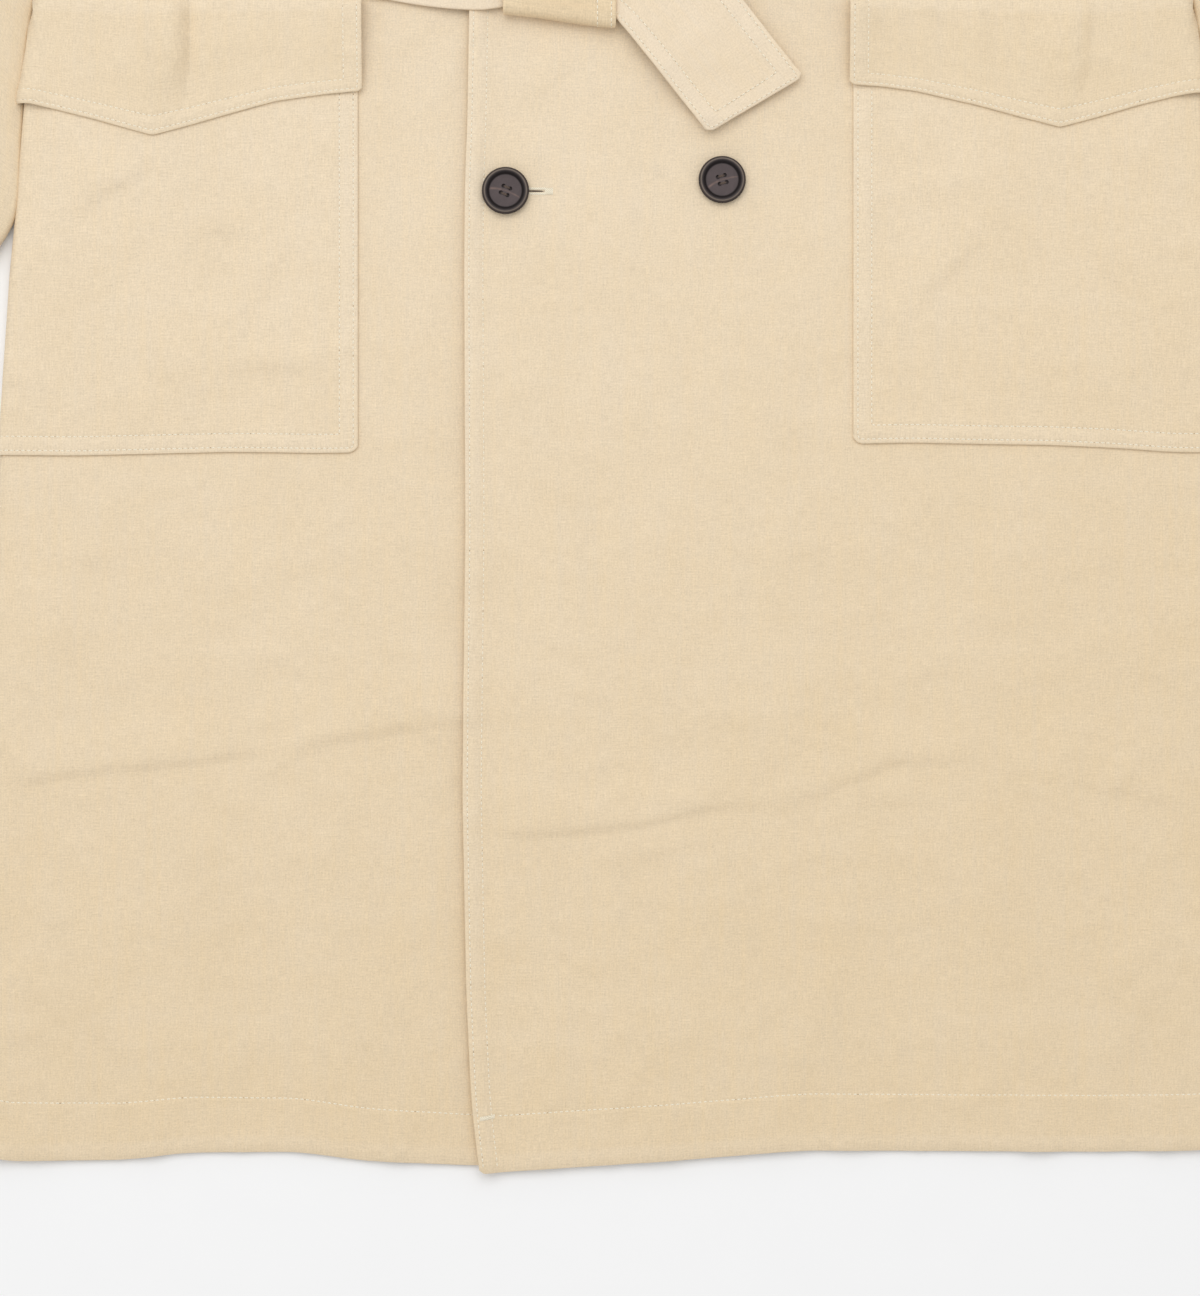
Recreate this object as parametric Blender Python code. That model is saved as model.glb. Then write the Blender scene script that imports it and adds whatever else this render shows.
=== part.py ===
"""A belted double-breasted trench coat, buttoned and laid flat on its back.

X runs across the coat, towards the wearer's left. Y runs up the coat, from hem to collar. Z is up, and
the coat's underside lies on Z = 0. Sizes below are in millimetres, and MM turns them into metres.
"Up" is a height above the hem, and "across" is a distance from the centre line, measured along the cloth,
so that past the side fold it goes on round to the coat's underside.
"""

from collections import namedtuple
from math import cos, pi, radians, sin

import bmesh
import bpy
from mathutils import Vector

MM = 0.001

# Cloth and the gap that is kept between pieces
CLOTH = 1.2
BELT_CLOTH = 2.0
GAP = 0.3
LAYER = CLOTH + GAP
BELT_LAYER = BELT_CLOTH + GAP
BELT_ON_CLOTH = CLOTH / 2 + GAP + BELT_CLOTH / 2

# The coat's length, and the heights that divide it
SHOULDER_NECK_UP = 1090.0
SHOULDER_TIP_UP = 1045.0
ARMPIT_UP = 812.0
BREAK_UP = 885.0
BACK_NECK_UP = 1072.0
CENTRE_UP = 561.2
NECK_HALF = 85.0
OVERLAP = 77.0
ROLL_TOP = 80.0
HEM_RISE_FADES = 80.0
BACK_HEM_SHORTER = 2.0

# The side fold: the front goes round it and on beneath to the side seam
TUCK = 48.0
TUCK_NARROWS_UP = 640.0
TUCK_LEAST = 1.0
PUFF = 2.8
PUFF_REACH = 70.0
PUFF_FADES_UP = 985.0
FOLD_RADIUS = (LAYER + PUFF) / 2
FOLD_OPENS_UP = 805.0
FOLD_OPEN_UP = 835.0
BACK_WIDENS_UP = 860.0
LIFT_FULL = 56.0
LIFT_ENDS = 130.0
FOLD_STEPS = 4
TUCK_STEPS = 2

# Where the left front steps down from the right front's edge
STEP_MARGIN = 6.0
STEP_LENGTH = 30.0
STEP_MARGIN_ROLL = 48.0
ROLL_LINE_STARTS = 15.0

# Belt, knot and tails
BELT_WIDTH = 57.7
BELT_BACK_UP = 629.0
KNOT_LEFT, KNOT_RIGHT = -57.0, 1.5
KNOT_RISE_REACH = 40.0

Row = namedtuple("Row", "at value")

# Half of the coat's width at each level. From the armpit up it is the armhole, and the levels are squeezed
# to end at the shoulder.
HALF_WIDTH = [
    Row(0, 344.0), Row(400, 316.7), Row(463, 312.6), Row(494, 309.5), Row(538, 305.8), Row(582, 302.5),
    Row(606, 299.0), Row(658, 293.0), Row(750, 297.0), Row(812, 300.0), Row(835, 289.0), Row(860, 279.0),
    Row(885, 271.0), Row(930, 260.0), Row(985, 250.0), Row(1030, 243.0), Row(1090, 235.0),
]
# Where the left front's free edge runs, at each height
LEFT_FRONT_EDGE = [
    Row(0, -69.2), Row(23, -72.3), Row(38, -73.8), Row(88, -76.3), Row(193, -78.3), Row(330, -76.8),
    Row(470, -77.4), Row(510, -77.0), Row(542, -75.8), Row(606, -74.6), Row(885, -77.0),
]
# How far the hem stands above its lowest level, across the coat (right front, then left front)
RIGHT_HEM = [
    Row(-344, 12.0), Row(-318, 1.6), Row(-255, 2.1), Row(-223, 5.9), Row(-164, 6.4), Row(-130, 1.7),
    Row(-70, -0.9), Row(-40, 0.5), Row(29, 5.0), Row(77, 9.0),
]
LEFT_HEM = [
    Row(-69, -4.8), Row(-40, -2.9), Row(29, 1.6), Row(97, 7.1), Row(252, 6.4), Row(305, 7.1), Row(344, 12.0),
]
# What lies under the coat lifts it: pocket, flap and belt near the side, and the belt alone in the middle
SIDE_LIFT = [
    Row(330, 0.0), Row(362, LAYER), Row(500, LAYER), Row(530, 2 * LAYER), Row(610, 2 * LAYER),
    Row(626, BELT_LAYER), Row(690, BELT_LAYER), Row(735, 0.0),
]
MIDDLE_LIFT = [Row(530, 0.0), Row(626, BELT_LAYER), Row(690, BELT_LAYER), Row(735, 0.0)]
# The belt's lower edge along the front
BELT_LOWER_EDGE = [
    Row(-293, 629.0), Row(-114, 605.3), Row(-100, 602.4), Row(-74, 599.4), Row(-60, 600.2), Row(-56, 602.0),
    Row(-40, 604.0), Row(0, 606.0), Row(10, 608.5), Row(120, 616.0), Row(293, 629.0),
]

# The heights of the grid lines that every body panel shares, so that what lies on it follows its facets
LEVELS = [
    0, 15, 30, 75, 120, 155, 175, 195, 215, 235, 270, 300, 330, 362, 410, 460, 500, 530, 578, 610, 626, 658,
    690, 735, 775, 805, 820, 835, 860, 885, 930, 985, 1030, 1060, 1090,
]
# Grid lines across a front: from its free edge, and then by distance from the side fold
INNER_LINES = [-38.0, 0.0, 40.0, 83.0, 113.0]
OUTER_LINES = [130.0, 100.0, 70.0, 56.0, 42.0, 28.0, 14.0, 0.0]
# On the narrow chest, the most of a front that the outer lines take, and of the rest that the inner ones do
OUTER_SHARE = 0.6
INNER_SHARE = 0.85

# A soft crease: where it starts and ends, how high it stands and how far it spreads
Crease = namedtuple("Crease", "x1 up1 x2 up2 height spread")
CREASES = [
    Crease(-319, 200, -170, 222, 2.4, 22),
    Crease(-170, 222, -84, 236, 1.8, 20),
    Crease(-50, 176, 64, 190, 2.2, 22),
    Crease(82, 186, 145, 214, 2.4, 22),
    Crease(145, 214, 300, 190, 2.0, 24),
]

COAT_COLOUR = (0.80, 0.66, 0.46, 1.0)
BUTTON_COLOUR = (0.055, 0.042, 0.038, 1.0)


def read(table, at):
    """The table's value at a place, in a straight line between its rows."""
    if at <= table[0].at:
        return table[0].value
    for low, high in zip(table, table[1:]):
        if at <= high.at:
            return low.value + (high.value - low.value) * (at - low.at) / (high.at - low.at)
    return table[-1].value


def ramp(value, start, end):
    """0 before start, 1 past end, and straight between."""
    return min(1.0, max(0.0, (value - start) / (end - start)))


def smooth(share):
    """An even ramp from 0 to 1 with soft ends."""
    return share * share * (3 - 2 * share)


# ---- The shape of the lying coat ----


def roll_line(up):
    """Where a front's lapel turns back, above the break."""
    return -OVERLAP + (ROLL_TOP + OVERLAP) * ramp(up, BREAK_UP, SHOULDER_NECK_UP)


def inner_edge(side, up):
    """A front's free edge, and above the break its roll line."""
    if up > BREAK_UP:
        return roll_line(up)
    return read(LEFT_FRONT_EDGE, up) if side > 0 else -OVERLAP


def fold_turn(up):
    """How far the front turns round the side fold: half a turn below the armpit, none above it."""
    return pi * (1 - ramp(up, FOLD_OPENS_UP, FOLD_OPEN_UP))


def tuck(up):
    """How far the front runs on beneath the coat, from the fold to the side seam."""
    return TUCK + (TUCK_LEAST - TUCK) * ramp(up, TUCK_NARROWS_UP, FOLD_OPENS_UP)


def fold_start(up):
    """Where the front's top begins to turn down."""
    turn = fold_turn(up)
    reach = FOLD_RADIUS * sin(min(turn, pi / 2)) + tuck(up) * max(0.0, cos(turn))
    return read(HALF_WIDTH, up) - CLOTH / 2 - reach


def lift(x, up):
    """The height that the pieces lying under the coat add there."""
    side_share = 1 - ramp(fold_start(up) - abs(x), LIFT_FULL, LIFT_ENDS)
    middle = read(MIDDLE_LIFT, up)
    return middle + (read(SIDE_LIFT, up) - middle) * side_share


def puff(across, up):
    """How far the top stands up off the back, near the side fold."""
    near = smooth(1 - ramp(fold_start(up) - across, 0, PUFF_REACH))
    return PUFF * near * (1 - ramp(up, PUFF_FADES_UP, SHOULDER_NECK_UP))


def step(across, up):
    """The left front's extra height where it lies on the right front."""
    right_front_edge = -inner_edge(-1, up)
    margin = STEP_MARGIN + (STEP_MARGIN_ROLL - STEP_MARGIN) * ramp(up, BREAK_UP - ROLL_LINE_STARTS, BREAK_UP)
    return LAYER * (1 - ramp(across - right_front_edge, margin, margin + STEP_LENGTH))


def crease_height(x, up):
    """The soft creases that run across the fronts."""
    height = 0.0
    for crease in CREASES:
        run = Vector((crease.x2 - crease.x1, crease.up2 - crease.up1))
        away = Vector((x - crease.x1, up - crease.up1))
        along = min(1.0, max(0.0, away.dot(run) / run.length_squared))
        distance = (away - along * run).length
        height = max(height, crease.height * smooth(1 - ramp(distance, 0, crease.spread)))
    return height


def hem_rise(side, x, up):
    """How far the hem's waviness moves a point up the coat."""
    rise = read(LEFT_HEM if side > 0 else RIGHT_HEM, x)
    return rise * (1 - ramp(up, 0, HEM_RISE_FADES))


def top_height(side, across, up):
    """The middle of a front's wall, over the coat's top."""
    height = CLOTH / 2 + LAYER + lift(across, up) + puff(across, up)
    if side > 0:
        height += step(across, up)
        return height + crease_height(across, up)
    covered = ramp(-across, -OVERLAP - STEP_LENGTH, -OVERLAP)
    return height + crease_height(-across, up) * (1 - covered)


def skin(side, across, up, raised=0.0):
    """A point on a front, or raised off it along its normal: X and Z."""
    start = fold_start(up)
    if across <= start:
        return side * across, top_height(side, across, up) + raised
    turn = fold_turn(up)
    run = across - start
    centre = CLOTH / 2 + lift(start, up) + FOLD_RADIUS
    if up > ARMPIT_UP:
        centre = top_height(side, start, up) - FOLD_RADIUS
    angle = min(turn, run / FOLD_RADIUS)
    past = run - angle * FOLD_RADIUS
    x = start + (FOLD_RADIUS + raised) * sin(angle) + past * cos(angle)
    z = centre + (FOLD_RADIUS + raised) * cos(angle) - past * sin(angle)
    return side * x, z


def shoulder_up(x):
    """The top of a panel: the shoulder's slope, level from the neck's side inwards."""
    slope = (SHOULDER_TIP_UP - SHOULDER_NECK_UP) / (read(HALF_WIDTH, SHOULDER_NECK_UP) - NECK_HALF)
    return SHOULDER_NECK_UP + slope * max(0.0, abs(x) - NECK_HALF)


def to_top(level, top):
    """Squeezes the levels above the armpit, so that the top one follows the panel's top edge."""
    if level <= ARMPIT_UP:
        return level
    return ARMPIT_UP + (level - ARMPIT_UP) * (top - ARMPIT_UP) / (SHOULDER_NECK_UP - ARMPIT_UP)


# ---- Making solids ----


def material(name, colour, roughness):
    made = bpy.data.materials.new(name)
    made.use_nodes = True
    shader = made.node_tree.nodes["Principled BSDF"]
    shader.inputs["Base Color"].default_value = colour
    shader.inputs["Roughness"].default_value = roughness
    shader.inputs["Metallic"].default_value = 0.0
    return made


def add_object(name, bm, finish):
    mesh = bpy.data.meshes.new(name)
    bm.to_mesh(mesh)
    bm.free()
    mesh.shade_smooth()
    mesh.materials.append(finish)
    made = bpy.data.objects.new(name, mesh)
    bpy.context.scene.collection.objects.link(made)
    return made


def wall(name, columns, rows, point, finish, thickness=CLOTH, ring=False, even=True):
    """One piece of cloth: a grid whose corners point(column, row) places, given its thickness both ways.

    A ring's last column lies on its first, and the two are joined.
    """
    bm = bmesh.new()
    bmesh.ops.create_grid(bm, x_segments=columns - 1, y_segments=rows - 1, size=1)
    for vert in bm.verts:
        column = round((vert.co.x + 1) / 2 * (columns - 1))
        row = round((vert.co.y + 1) / 2 * (rows - 1))
        x, up, z = point(column, row)
        vert.co = Vector((x, up - CENTRE_UP, z)) * MM
    if ring:
        bmesh.ops.remove_doubles(bm, verts=bm.verts[:], dist=1e-6)
    made = add_object(name, bm, finish)
    solid = made.modifiers.new("thickness", "SOLIDIFY")
    solid.thickness = thickness * MM
    solid.offset = 0.0
    solid.use_even_offset = even
    return made


# ---- Fronts and back ----


def front_lines(side, up):
    """Where the grid lines cross a front at one height, from its free edge to the side seam."""
    edge = inner_edge(side, up)
    start = fold_start(up)
    outer = min(1.0, (start - edge) * OUTER_SHARE / OUTER_LINES[0])
    lines = [edge] + INNER_LINES
    if up > BREAK_UP:
        room = (start - outer * OUTER_LINES[0] - edge) * INNER_SHARE
        squeeze = min(1.0, room / (INNER_LINES[-1] + OVERLAP))
        lines = [edge] + [edge + (line + OVERLAP) * squeeze for line in INNER_LINES]
    lines += [start - line * outer for line in OUTER_LINES]
    turned = FOLD_RADIUS * fold_turn(up)
    if turned == 0:
        count = FOLD_STEPS + TUCK_STEPS
        return lines + [start + tuck(up) * (number + 1) / count for number in range(count)]
    lines += [start + turned * (number + 1) / FOLD_STEPS for number in range(FOLD_STEPS)]
    return lines + [start + turned + tuck(up) * (number + 1) / TUCK_STEPS for number in range(TUCK_STEPS)]


def add_front(name, side, finish):
    def point(column, row):
        level = LEVELS[row]
        across = front_lines(side, level)[column]
        x, z = skin(side, across, level)
        return x, to_top(level, shoulder_up(x)) + hem_rise(side, x, level), z

    return wall(name, len(front_lines(side, 0)), len(LEVELS), point, finish)


BACK_OUTER_SHARE = 0.5


def back_lines(up):
    """Where the grid lines cross the back's left half at one height, from the centre to the side seam."""
    start = fold_start(up)
    outer = LIFT_ENDS * min(1.0, start * BACK_OUTER_SHARE / LIFT_ENDS)
    inner = start - outer
    seam = start - tuck(up) - GAP
    widened = read(HALF_WIDTH, up) - CLOTH / 2
    edge = seam + (widened - seam) * ramp(up, FOLD_OPEN_UP, BACK_WIDENS_UP)
    lines = [inner * share for share in (0.0, 1 / 3, 2 / 3)]
    lines += [start - line * outer / LIFT_ENDS for line in OUTER_LINES if line >= LIFT_FULL]
    return lines + [edge]


def add_back(finish):
    half = len(back_lines(0)) - 1

    def point(column, row):
        level = LEVELS[row]
        x = back_lines(level)[abs(column - half)] * (1 if column > half else -1)
        top = shoulder_up(x)
        if abs(x) < NECK_HALF:
            top = BACK_NECK_UP + (SHOULDER_NECK_UP - BACK_NECK_UP) * (x / NECK_HALF) ** 2
        rise = max(hem_rise(-1, x, level), hem_rise(1, x, level))
        shorter = BACK_HEM_SHORTER * (1 - ramp(level, 0, HEM_RISE_FADES))
        return x, to_top(level, top) + rise + shorter, CLOTH / 2 + lift(x, level)

    return wall("back", 2 * half + 1, len(LEVELS), point, finish)


# ---- Pockets and flaps ----

# Each side's pocket and flap: inner edges, lower edge, and the flap's corner and point
PocketPlace = namedtuple("PocketPlace", "inner bottom flap_inner flap_corner_up flap_point flap_point_up")
POCKETS = {
    -1: PocketPlace(132.6, 371.0, 130.7, 558.0, 239.2, 535.3),
    1: PocketPlace(124.8, 373.5, 123.2, 562.4, 232.2, 539.6),
}
POCKET_TOP_UP = 578.0
FLAP_TOP_UP = 606.6
POCKET_UNDER = 37.0
POCKET_LEVELS = [410.0, 460.0, 500.0, 530.0, POCKET_TOP_UP]


def wrapped_lines(side, inner, up, under):
    """Grid lines from an inner edge to a piece's end beneath the coat: the front's own lines between."""
    lines = front_lines(side, up)
    first = 1 + len(INNER_LINES)
    end = first + len(OUTER_LINES) + FOLD_STEPS
    turned = lines[end - 1]
    return [inner] + lines[first:end] + [lines[end], turned + under]


def add_pocket(name, side, finish):
    place = POCKETS[side]
    levels = [place.bottom] + POCKET_LEVELS

    def point(column, row):
        across = wrapped_lines(side, place.inner, levels[row], POCKET_UNDER)[column]
        x, z = skin(side, across, levels[row], LAYER)
        return x, levels[row], z

    return wall(name, len(wrapped_lines(side, 0, 0, 0)), len(levels), point, finish)


def add_flap(name, side, finish):
    place = POCKETS[side]
    half = place.flap_point - place.flap_inner
    levels = [place.flap_point_up, POCKET_TOP_UP, FLAP_TOP_UP]

    def columns(level):
        outer_end = place.flap_point + half
        lines = wrapped_lines(side, place.flap_inner, level, 0)[:-1]
        return sorted(lines + [place.flap_point, outer_end])

    def point(column, row):
        up = levels[row]
        if row == 0:
            share = abs(columns(up)[column] - place.flap_point) / half
            up = place.flap_point_up + (place.flap_corner_up - place.flap_point_up) * share
        x, z = skin(side, columns(up)[column], up, 2 * LAYER)
        return x, up, z

    return wall(name, len(columns(0)), len(levels), point, finish)


# ---- Lapels ----

# Rows up a lapel: the height on its roll line, and its outer edge
LapelRow = namedtuple("LapelRow", "roll_up edge_across edge_up")
LAPEL = [
    LapelRow(888, -68, 889), LapelRow(920, -8, 926), LapelRow(955, 42, 956), LapelRow(990, 92, 985),
    LapelRow(1015, 134, 1010), LapelRow(1044, 96, 1033),
]
# The right lapel shows only where the left front doesn't cover it
COVERED_LAPEL = [
    LapelRow(952, 32, 953), LapelRow(968, 62, 970), LapelRow(986, 94, 986), LapelRow(1015, 134, 1010),
    LapelRow(1044, 96, 1033),
]
LAPEL_SPRING = 0.5
LAPEL_COLUMNS = 6
LAPEL_CLEARANCE = 1.2


def add_lapel(name, side, finish):
    table = LAPEL if side > 0 else COVERED_LAPEL

    def point(column, row):
        edge = table[row]
        inner = roll_line(edge.roll_up)
        if side < 0:
            inner = max(inner, -inner + LAPEL_CLEARANCE)
        share = column / (LAPEL_COLUMNS - 1)
        across = inner + (edge.edge_across - inner) * share
        up = edge.roll_up + (edge.edge_up - edge.roll_up) * share
        z = top_height(side, across, up) + LAYER + LAPEL_SPRING
        return side * across, up, z

    return wall(name, LAPEL_COLUMNS, len(table), point, finish)


# ---- Collar ----

# Round the left half of the neck, from the centre back: the neck seam, the crest and the outer edge
CollarRow = namedtuple("CollarRow", "seam crest edge")
COLLAR = [
    CollarRow((0, 1070, 2.2), (0, 1080, 26.0), (0, 1126, 1.0)),
    CollarRow((22, 1071, 2.2), (24, 1081, 25.5), (34, 1127, 1.0)),
    CollarRow((42, 1075, 2.2), (47, 1086, 24.0), (66, 1126, 1.2)),
    CollarRow((60, 1080, 2.6), (67, 1091, 22.0), (94, 1121, 1.6)),
    CollarRow((76, 1083, 3.6), (84, 1091, 19.0), (117, 1110, 2.8)),
    CollarRow((82, 1080, 4.4), (91, 1084, 15.5), (133, 1095, 4.2)),
    CollarRow((80, 1072, 4.4), (86, 1074, 12.0), (142, 1076, 5.0)),
    CollarRow((72, 1063, 4.4), (72, 1063, 9.5), (145, 1056, 4.6)),
    CollarRow((62, 1056, 3.6), (56, 1054, 6.8), (139, 1031, 4.4)),
]
COLLAR_STAND_STEPS = 3
COLLAR_FALL_STEPS = 5


def bezier(start, first, second, end, share):
    rest = 1 - share
    return (start * rest**3 + first * (3 * rest**2 * share) + second * (3 * rest * share**2) + end * share**3)


def add_collar(finish):
    half = len(COLLAR) - 1

    def point(column, row):
        place = COLLAR[abs(row - half)]
        seam, crest, edge = (Vector(values) for values in place)
        flat = Vector((1, 1, 0))
        if column <= COLLAR_STAND_STEPS:
            first = seam + Vector((0, 0, 0.6 * (crest.z - seam.z)))
            second = crest - 0.5 * (crest - seam) * flat
            at = bezier(seam, first, second, crest, column / COLLAR_STAND_STEPS)
        else:
            share = (column - COLLAR_STAND_STEPS) / COLLAR_FALL_STEPS
            first = crest + 0.25 * (edge - crest) * flat
            second = edge + 0.35 * (crest - edge) * flat + Vector((0, 0, 0.25 * (crest.z - edge.z)))
            at = bezier(crest, first, second, edge, share)
        return at.x * (1 if row >= half else -1), at.y, at.z

    return wall("collar", COLLAR_STAND_STEPS + COLLAR_FALL_STEPS + 1, 2 * half + 1, point, finish)


# ---- Sleeves ----

# Sections down a sleeve: its inner and outer folds, and the outer fold's radius. The first is the armhole.
SleeveRow = namedtuple("SleeveRow", "inner inner_up outer outer_up radius")
SLEEVE = [
    SleeveRow(297.0, 819, 235.0, 1043, 0.76), SleeveRow(319, 780, 288, 1011, 1.6),
    SleeveRow(317, 744, 325, 969, 2.15), SleeveRow(311, 702, 352, 912, 2.15),
    SleeveRow(305, 662, 379, 846, 2.15), SleeveRow(308, 620, 402, 780, 2.15),
    SleeveRow(312, 580, 422, 712, 2.15), SleeveRow(313.8, 540, 441, 648, 2.15),
    SleeveRow(315.2, 495, 462, 585, 2.15), SleeveRow(332, 464, 479, 535, 2.15),
    SleeveRow(350, 433, 493, 498, 2.15), SleeveRow(365, 408, 503, 472, 2.15),
]
ARMHOLE_LEVELS = [level for level in LEVELS if level >= 820]
SLEEVE_WALL_STEPS = len(ARMHOLE_LEVELS) - 1


def sleeve_station(column):
    """Where a column runs on a flat sleeve: its step out from the inner fold, and its turn round a fold."""
    outer_fold = SLEEVE_WALL_STEPS + FOLD_STEPS
    if column <= SLEEVE_WALL_STEPS:
        return column, 0.0
    if column < outer_fold:
        return SLEEVE_WALL_STEPS, pi * (column - SLEEVE_WALL_STEPS) / FOLD_STEPS
    if column <= outer_fold + SLEEVE_WALL_STEPS:
        return SLEEVE_WALL_STEPS - (column - outer_fold), pi
    return 0, pi + pi * (column - outer_fold - SLEEVE_WALL_STEPS) / FOLD_STEPS


def add_sleeve(name, side, finish):
    around = 2 * (SLEEVE_WALL_STEPS + FOLD_STEPS)

    def point(column, row):
        step_out, angle = sleeve_station(column % around)
        level = ARMHOLE_LEVELS[step_out]
        share = (level - ARMHOLE_LEVELS[0]) / (ARMHOLE_LEVELS[-1] - ARMHOLE_LEVELS[0])
        place = SLEEVE[row]
        inner = Vector((place.inner, place.inner_up, 0))
        outer = Vector((place.outer, place.outer_up, 0))
        at = inner + (outer - inner) * share
        radius = FOLD_RADIUS + (place.radius - FOLD_RADIUS) * share
        bulge = (outer - inner).normalized() * sin(angle)
        if row == 0:
            rim = read(HALF_WIDTH, level) - CLOTH / 2
            at = Vector((rim + GAP, to_top(level, SHOULDER_TIP_UP), 0))
            radius = (LAYER + puff(rim, level)) / 2
            bulge = Vector((abs(sin(angle)), 0, 0))
        at += bulge * radius
        return side * at.x, at.y, CLOTH / 2 + radius * (1 - cos(angle))

    return wall(name, around + 1, len(SLEEVE), point, finish, ring=True, even=False)


# ---- Belt ----

BELT_FRONT_LINES = [0.0, 28.0, 40.0, 56.0, 60.0, 74.0, 83.0, 100.0, 113.0]
BELT_BACK_SHARES = [0.5, 0.0]
BELT_EDGE = 4.0
BELT_RESTS_UP = 626.0


def on_fronts(x, up, raised):
    """The height of a point that lies on the buttoned fronts, smoothed over the left front's free edge."""
    if x >= -OVERLAP:
        return top_height(1, x, up) + raised
    step_up = LAYER * (1 - ramp(-x, OVERLAP + STEP_MARGIN, OVERLAP + STEP_MARGIN + STEP_LENGTH))
    return top_height(-1, -x, up) + step_up + raised


def knot_rise(x):
    """How much the knot's layers beneath it lift the belt."""
    past = max(KNOT_LEFT - x, x - KNOT_RIGHT, 0.0)
    return BELT_LAYER * (1 - ramp(past, STEP_MARGIN, KNOT_RISE_REACH))


def belt_lines(side, up):
    """The belt's grid lines on one side, from the knot round the fold and back to the centre beneath."""
    lines = front_lines(side, up)[1 + len(INNER_LINES):]
    seam = fold_start(up) - tuck(up)
    return BELT_FRONT_LINES + lines + [seam * share for share in BELT_BACK_SHARES]


def add_belt(finish):
    middle = BELT_BACK_UP + BELT_WIDTH / 2
    count = len(belt_lines(1, middle))
    on_front = len(BELT_FRONT_LINES) + len(OUTER_LINES)
    beneath = count - len(BELT_BACK_SHARES)
    stations = [(-1, place) for place in range(count)] + [(1, place) for place in range(count - 2, -1, -1)]

    def point(column, row):
        side, place = stations[column]
        lower = BELT_BACK_UP
        if place < on_front:
            lower = read(BELT_LOWER_EDGE, side * belt_lines(side, middle)[place])
        up = (lower, max(lower + BELT_EDGE, BELT_RESTS_UP), lower + BELT_WIDTH / 2, lower + BELT_WIDTH)[row]
        across = belt_lines(side, up)[place]
        if place < on_front:
            x = side * across
            return x, up, on_fronts(x, up, BELT_ON_CLOTH + knot_rise(x))
        if place < beneath:
            x, z = skin(side, across, up, BELT_ON_CLOTH)
            return x, up, z
        return side * across, up, BELT_CLOTH / 2

    return wall("belt_waist", len(stations), 4, point, finish, BELT_CLOTH, ring=True)


KNOT_LOWER_EDGE = [Row(-57, 598.0), Row(-32, 594.6), Row(-11, 591.5), Row(1.5, 590.2)]
KNOT_HEIGHT = 79.0
KNOT_COLUMNS = 5
KNOT_WALL_STEPS = 3
KNOT_FOLD_STEPS = 6
KNOT_RADIUS = 1.5 * BELT_LAYER


def add_knot(finish):
    """The belt's end, wrapped once round the belt and its tail."""
    around = 2 * (KNOT_WALL_STEPS + KNOT_FOLD_STEPS)

    def point(column, row):
        x = KNOT_LEFT + (KNOT_RIGHT - KNOT_LEFT) * row / (KNOT_COLUMNS - 1)
        low = read(KNOT_LOWER_EDGE, x) + BELT_CLOTH / 2 + KNOT_RADIUS
        high = low + KNOT_HEIGHT - BELT_CLOTH - 2 * KNOT_RADIUS
        step_number = column % around
        if step_number <= KNOT_WALL_STEPS:
            up, angle = low + (high - low) * step_number / KNOT_WALL_STEPS, 0.0
        elif step_number < KNOT_WALL_STEPS + KNOT_FOLD_STEPS:
            up, angle = high, pi * (step_number - KNOT_WALL_STEPS) / KNOT_FOLD_STEPS
        elif step_number <= 2 * KNOT_WALL_STEPS + KNOT_FOLD_STEPS:
            back = step_number - KNOT_WALL_STEPS - KNOT_FOLD_STEPS
            up, angle = high + (low - high) * back / KNOT_WALL_STEPS, pi
        else:
            up, angle = low, pi + pi * (step_number - 2 * KNOT_WALL_STEPS - KNOT_FOLD_STEPS) / KNOT_FOLD_STEPS
        z = on_fronts(x, up, BELT_ON_CLOTH) + KNOT_RADIUS * (1 - cos(angle))
        return x, up + KNOT_RADIUS * sin(angle), z

    return wall("belt_knot", around + 1, KNOT_COLUMNS, point, finish, BELT_CLOTH, ring=True)


# Rows along each tail: its two edges, and how far it stands off the fronts
TailRow = namedtuple("TailRow", "first_x first_up second_x second_up raised")
TAIL_IN_KNOT = BELT_ON_CLOTH + 2 * BELT_LAYER
LOWER_TAIL = [
    TailRow(-30, 608, -30, 650, TAIL_IN_KNOT), TailRow(-4, 599, 0, 654, TAIL_IN_KNOT),
    TailRow(5, 591, 20, 652, TAIL_IN_KNOT), TailRow(16, 577.5, 44, 632, TAIL_IN_KNOT - 1.0),
    TailRow(25, 566.3, 66, 606, BELT_ON_CLOTH + 1.6), TailRow(37, 551.4, 82, 586, BELT_ON_CLOTH + 0.6),
    TailRow(49.4, 536.1, 98.8, 565.2, BELT_ON_CLOTH + 0.6),
]
UPPER_TAIL = [
    TailRow(-56, 678, 0, 672, BELT_ON_CLOTH + 1.5), TailRow(-50, 702, 7, 696, BELT_ON_CLOTH),
    TailRow(-41, 740, 16.5, 734, BELT_ON_CLOTH), TailRow(-32, 780, 25.5, 774, BELT_ON_CLOTH),
    TailRow(-23, 820, 34.5, 814, BELT_ON_CLOTH),
]
TAIL_COLUMNS = 6


def add_tail(name, table, finish):
    def point(column, row):
        place = table[row]
        share = column / (TAIL_COLUMNS - 1)
        x = place.first_x + (place.second_x - place.first_x) * share
        up = place.first_up + (place.second_up - place.first_up) * share
        return x, up, on_fronts(x, up, place.raised)

    return wall(name, TAIL_COLUMNS, len(table), point, finish, BELT_CLOTH)


# ---- Buttons ----

ButtonPlace = namedtuple("ButtonPlace", "name x up")
BUTTONS = [
    ButtonPlace("button_low_right", -55.9, 506.5), ButtonPlace("button_low_left", 56.7, 512.2),
    ButtonPlace("button_middle_right", -57.5, 742.0), ButtonPlace("button_middle_left", 57.5, 742.0),
    ButtonPlace("button_top_right", -57.5, 852.0), ButtonPlace("button_top_left", 57.5, 852.0),
]
BUTTON_SIDES = 24
BUTTON_CREASE = radians(40)
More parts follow.
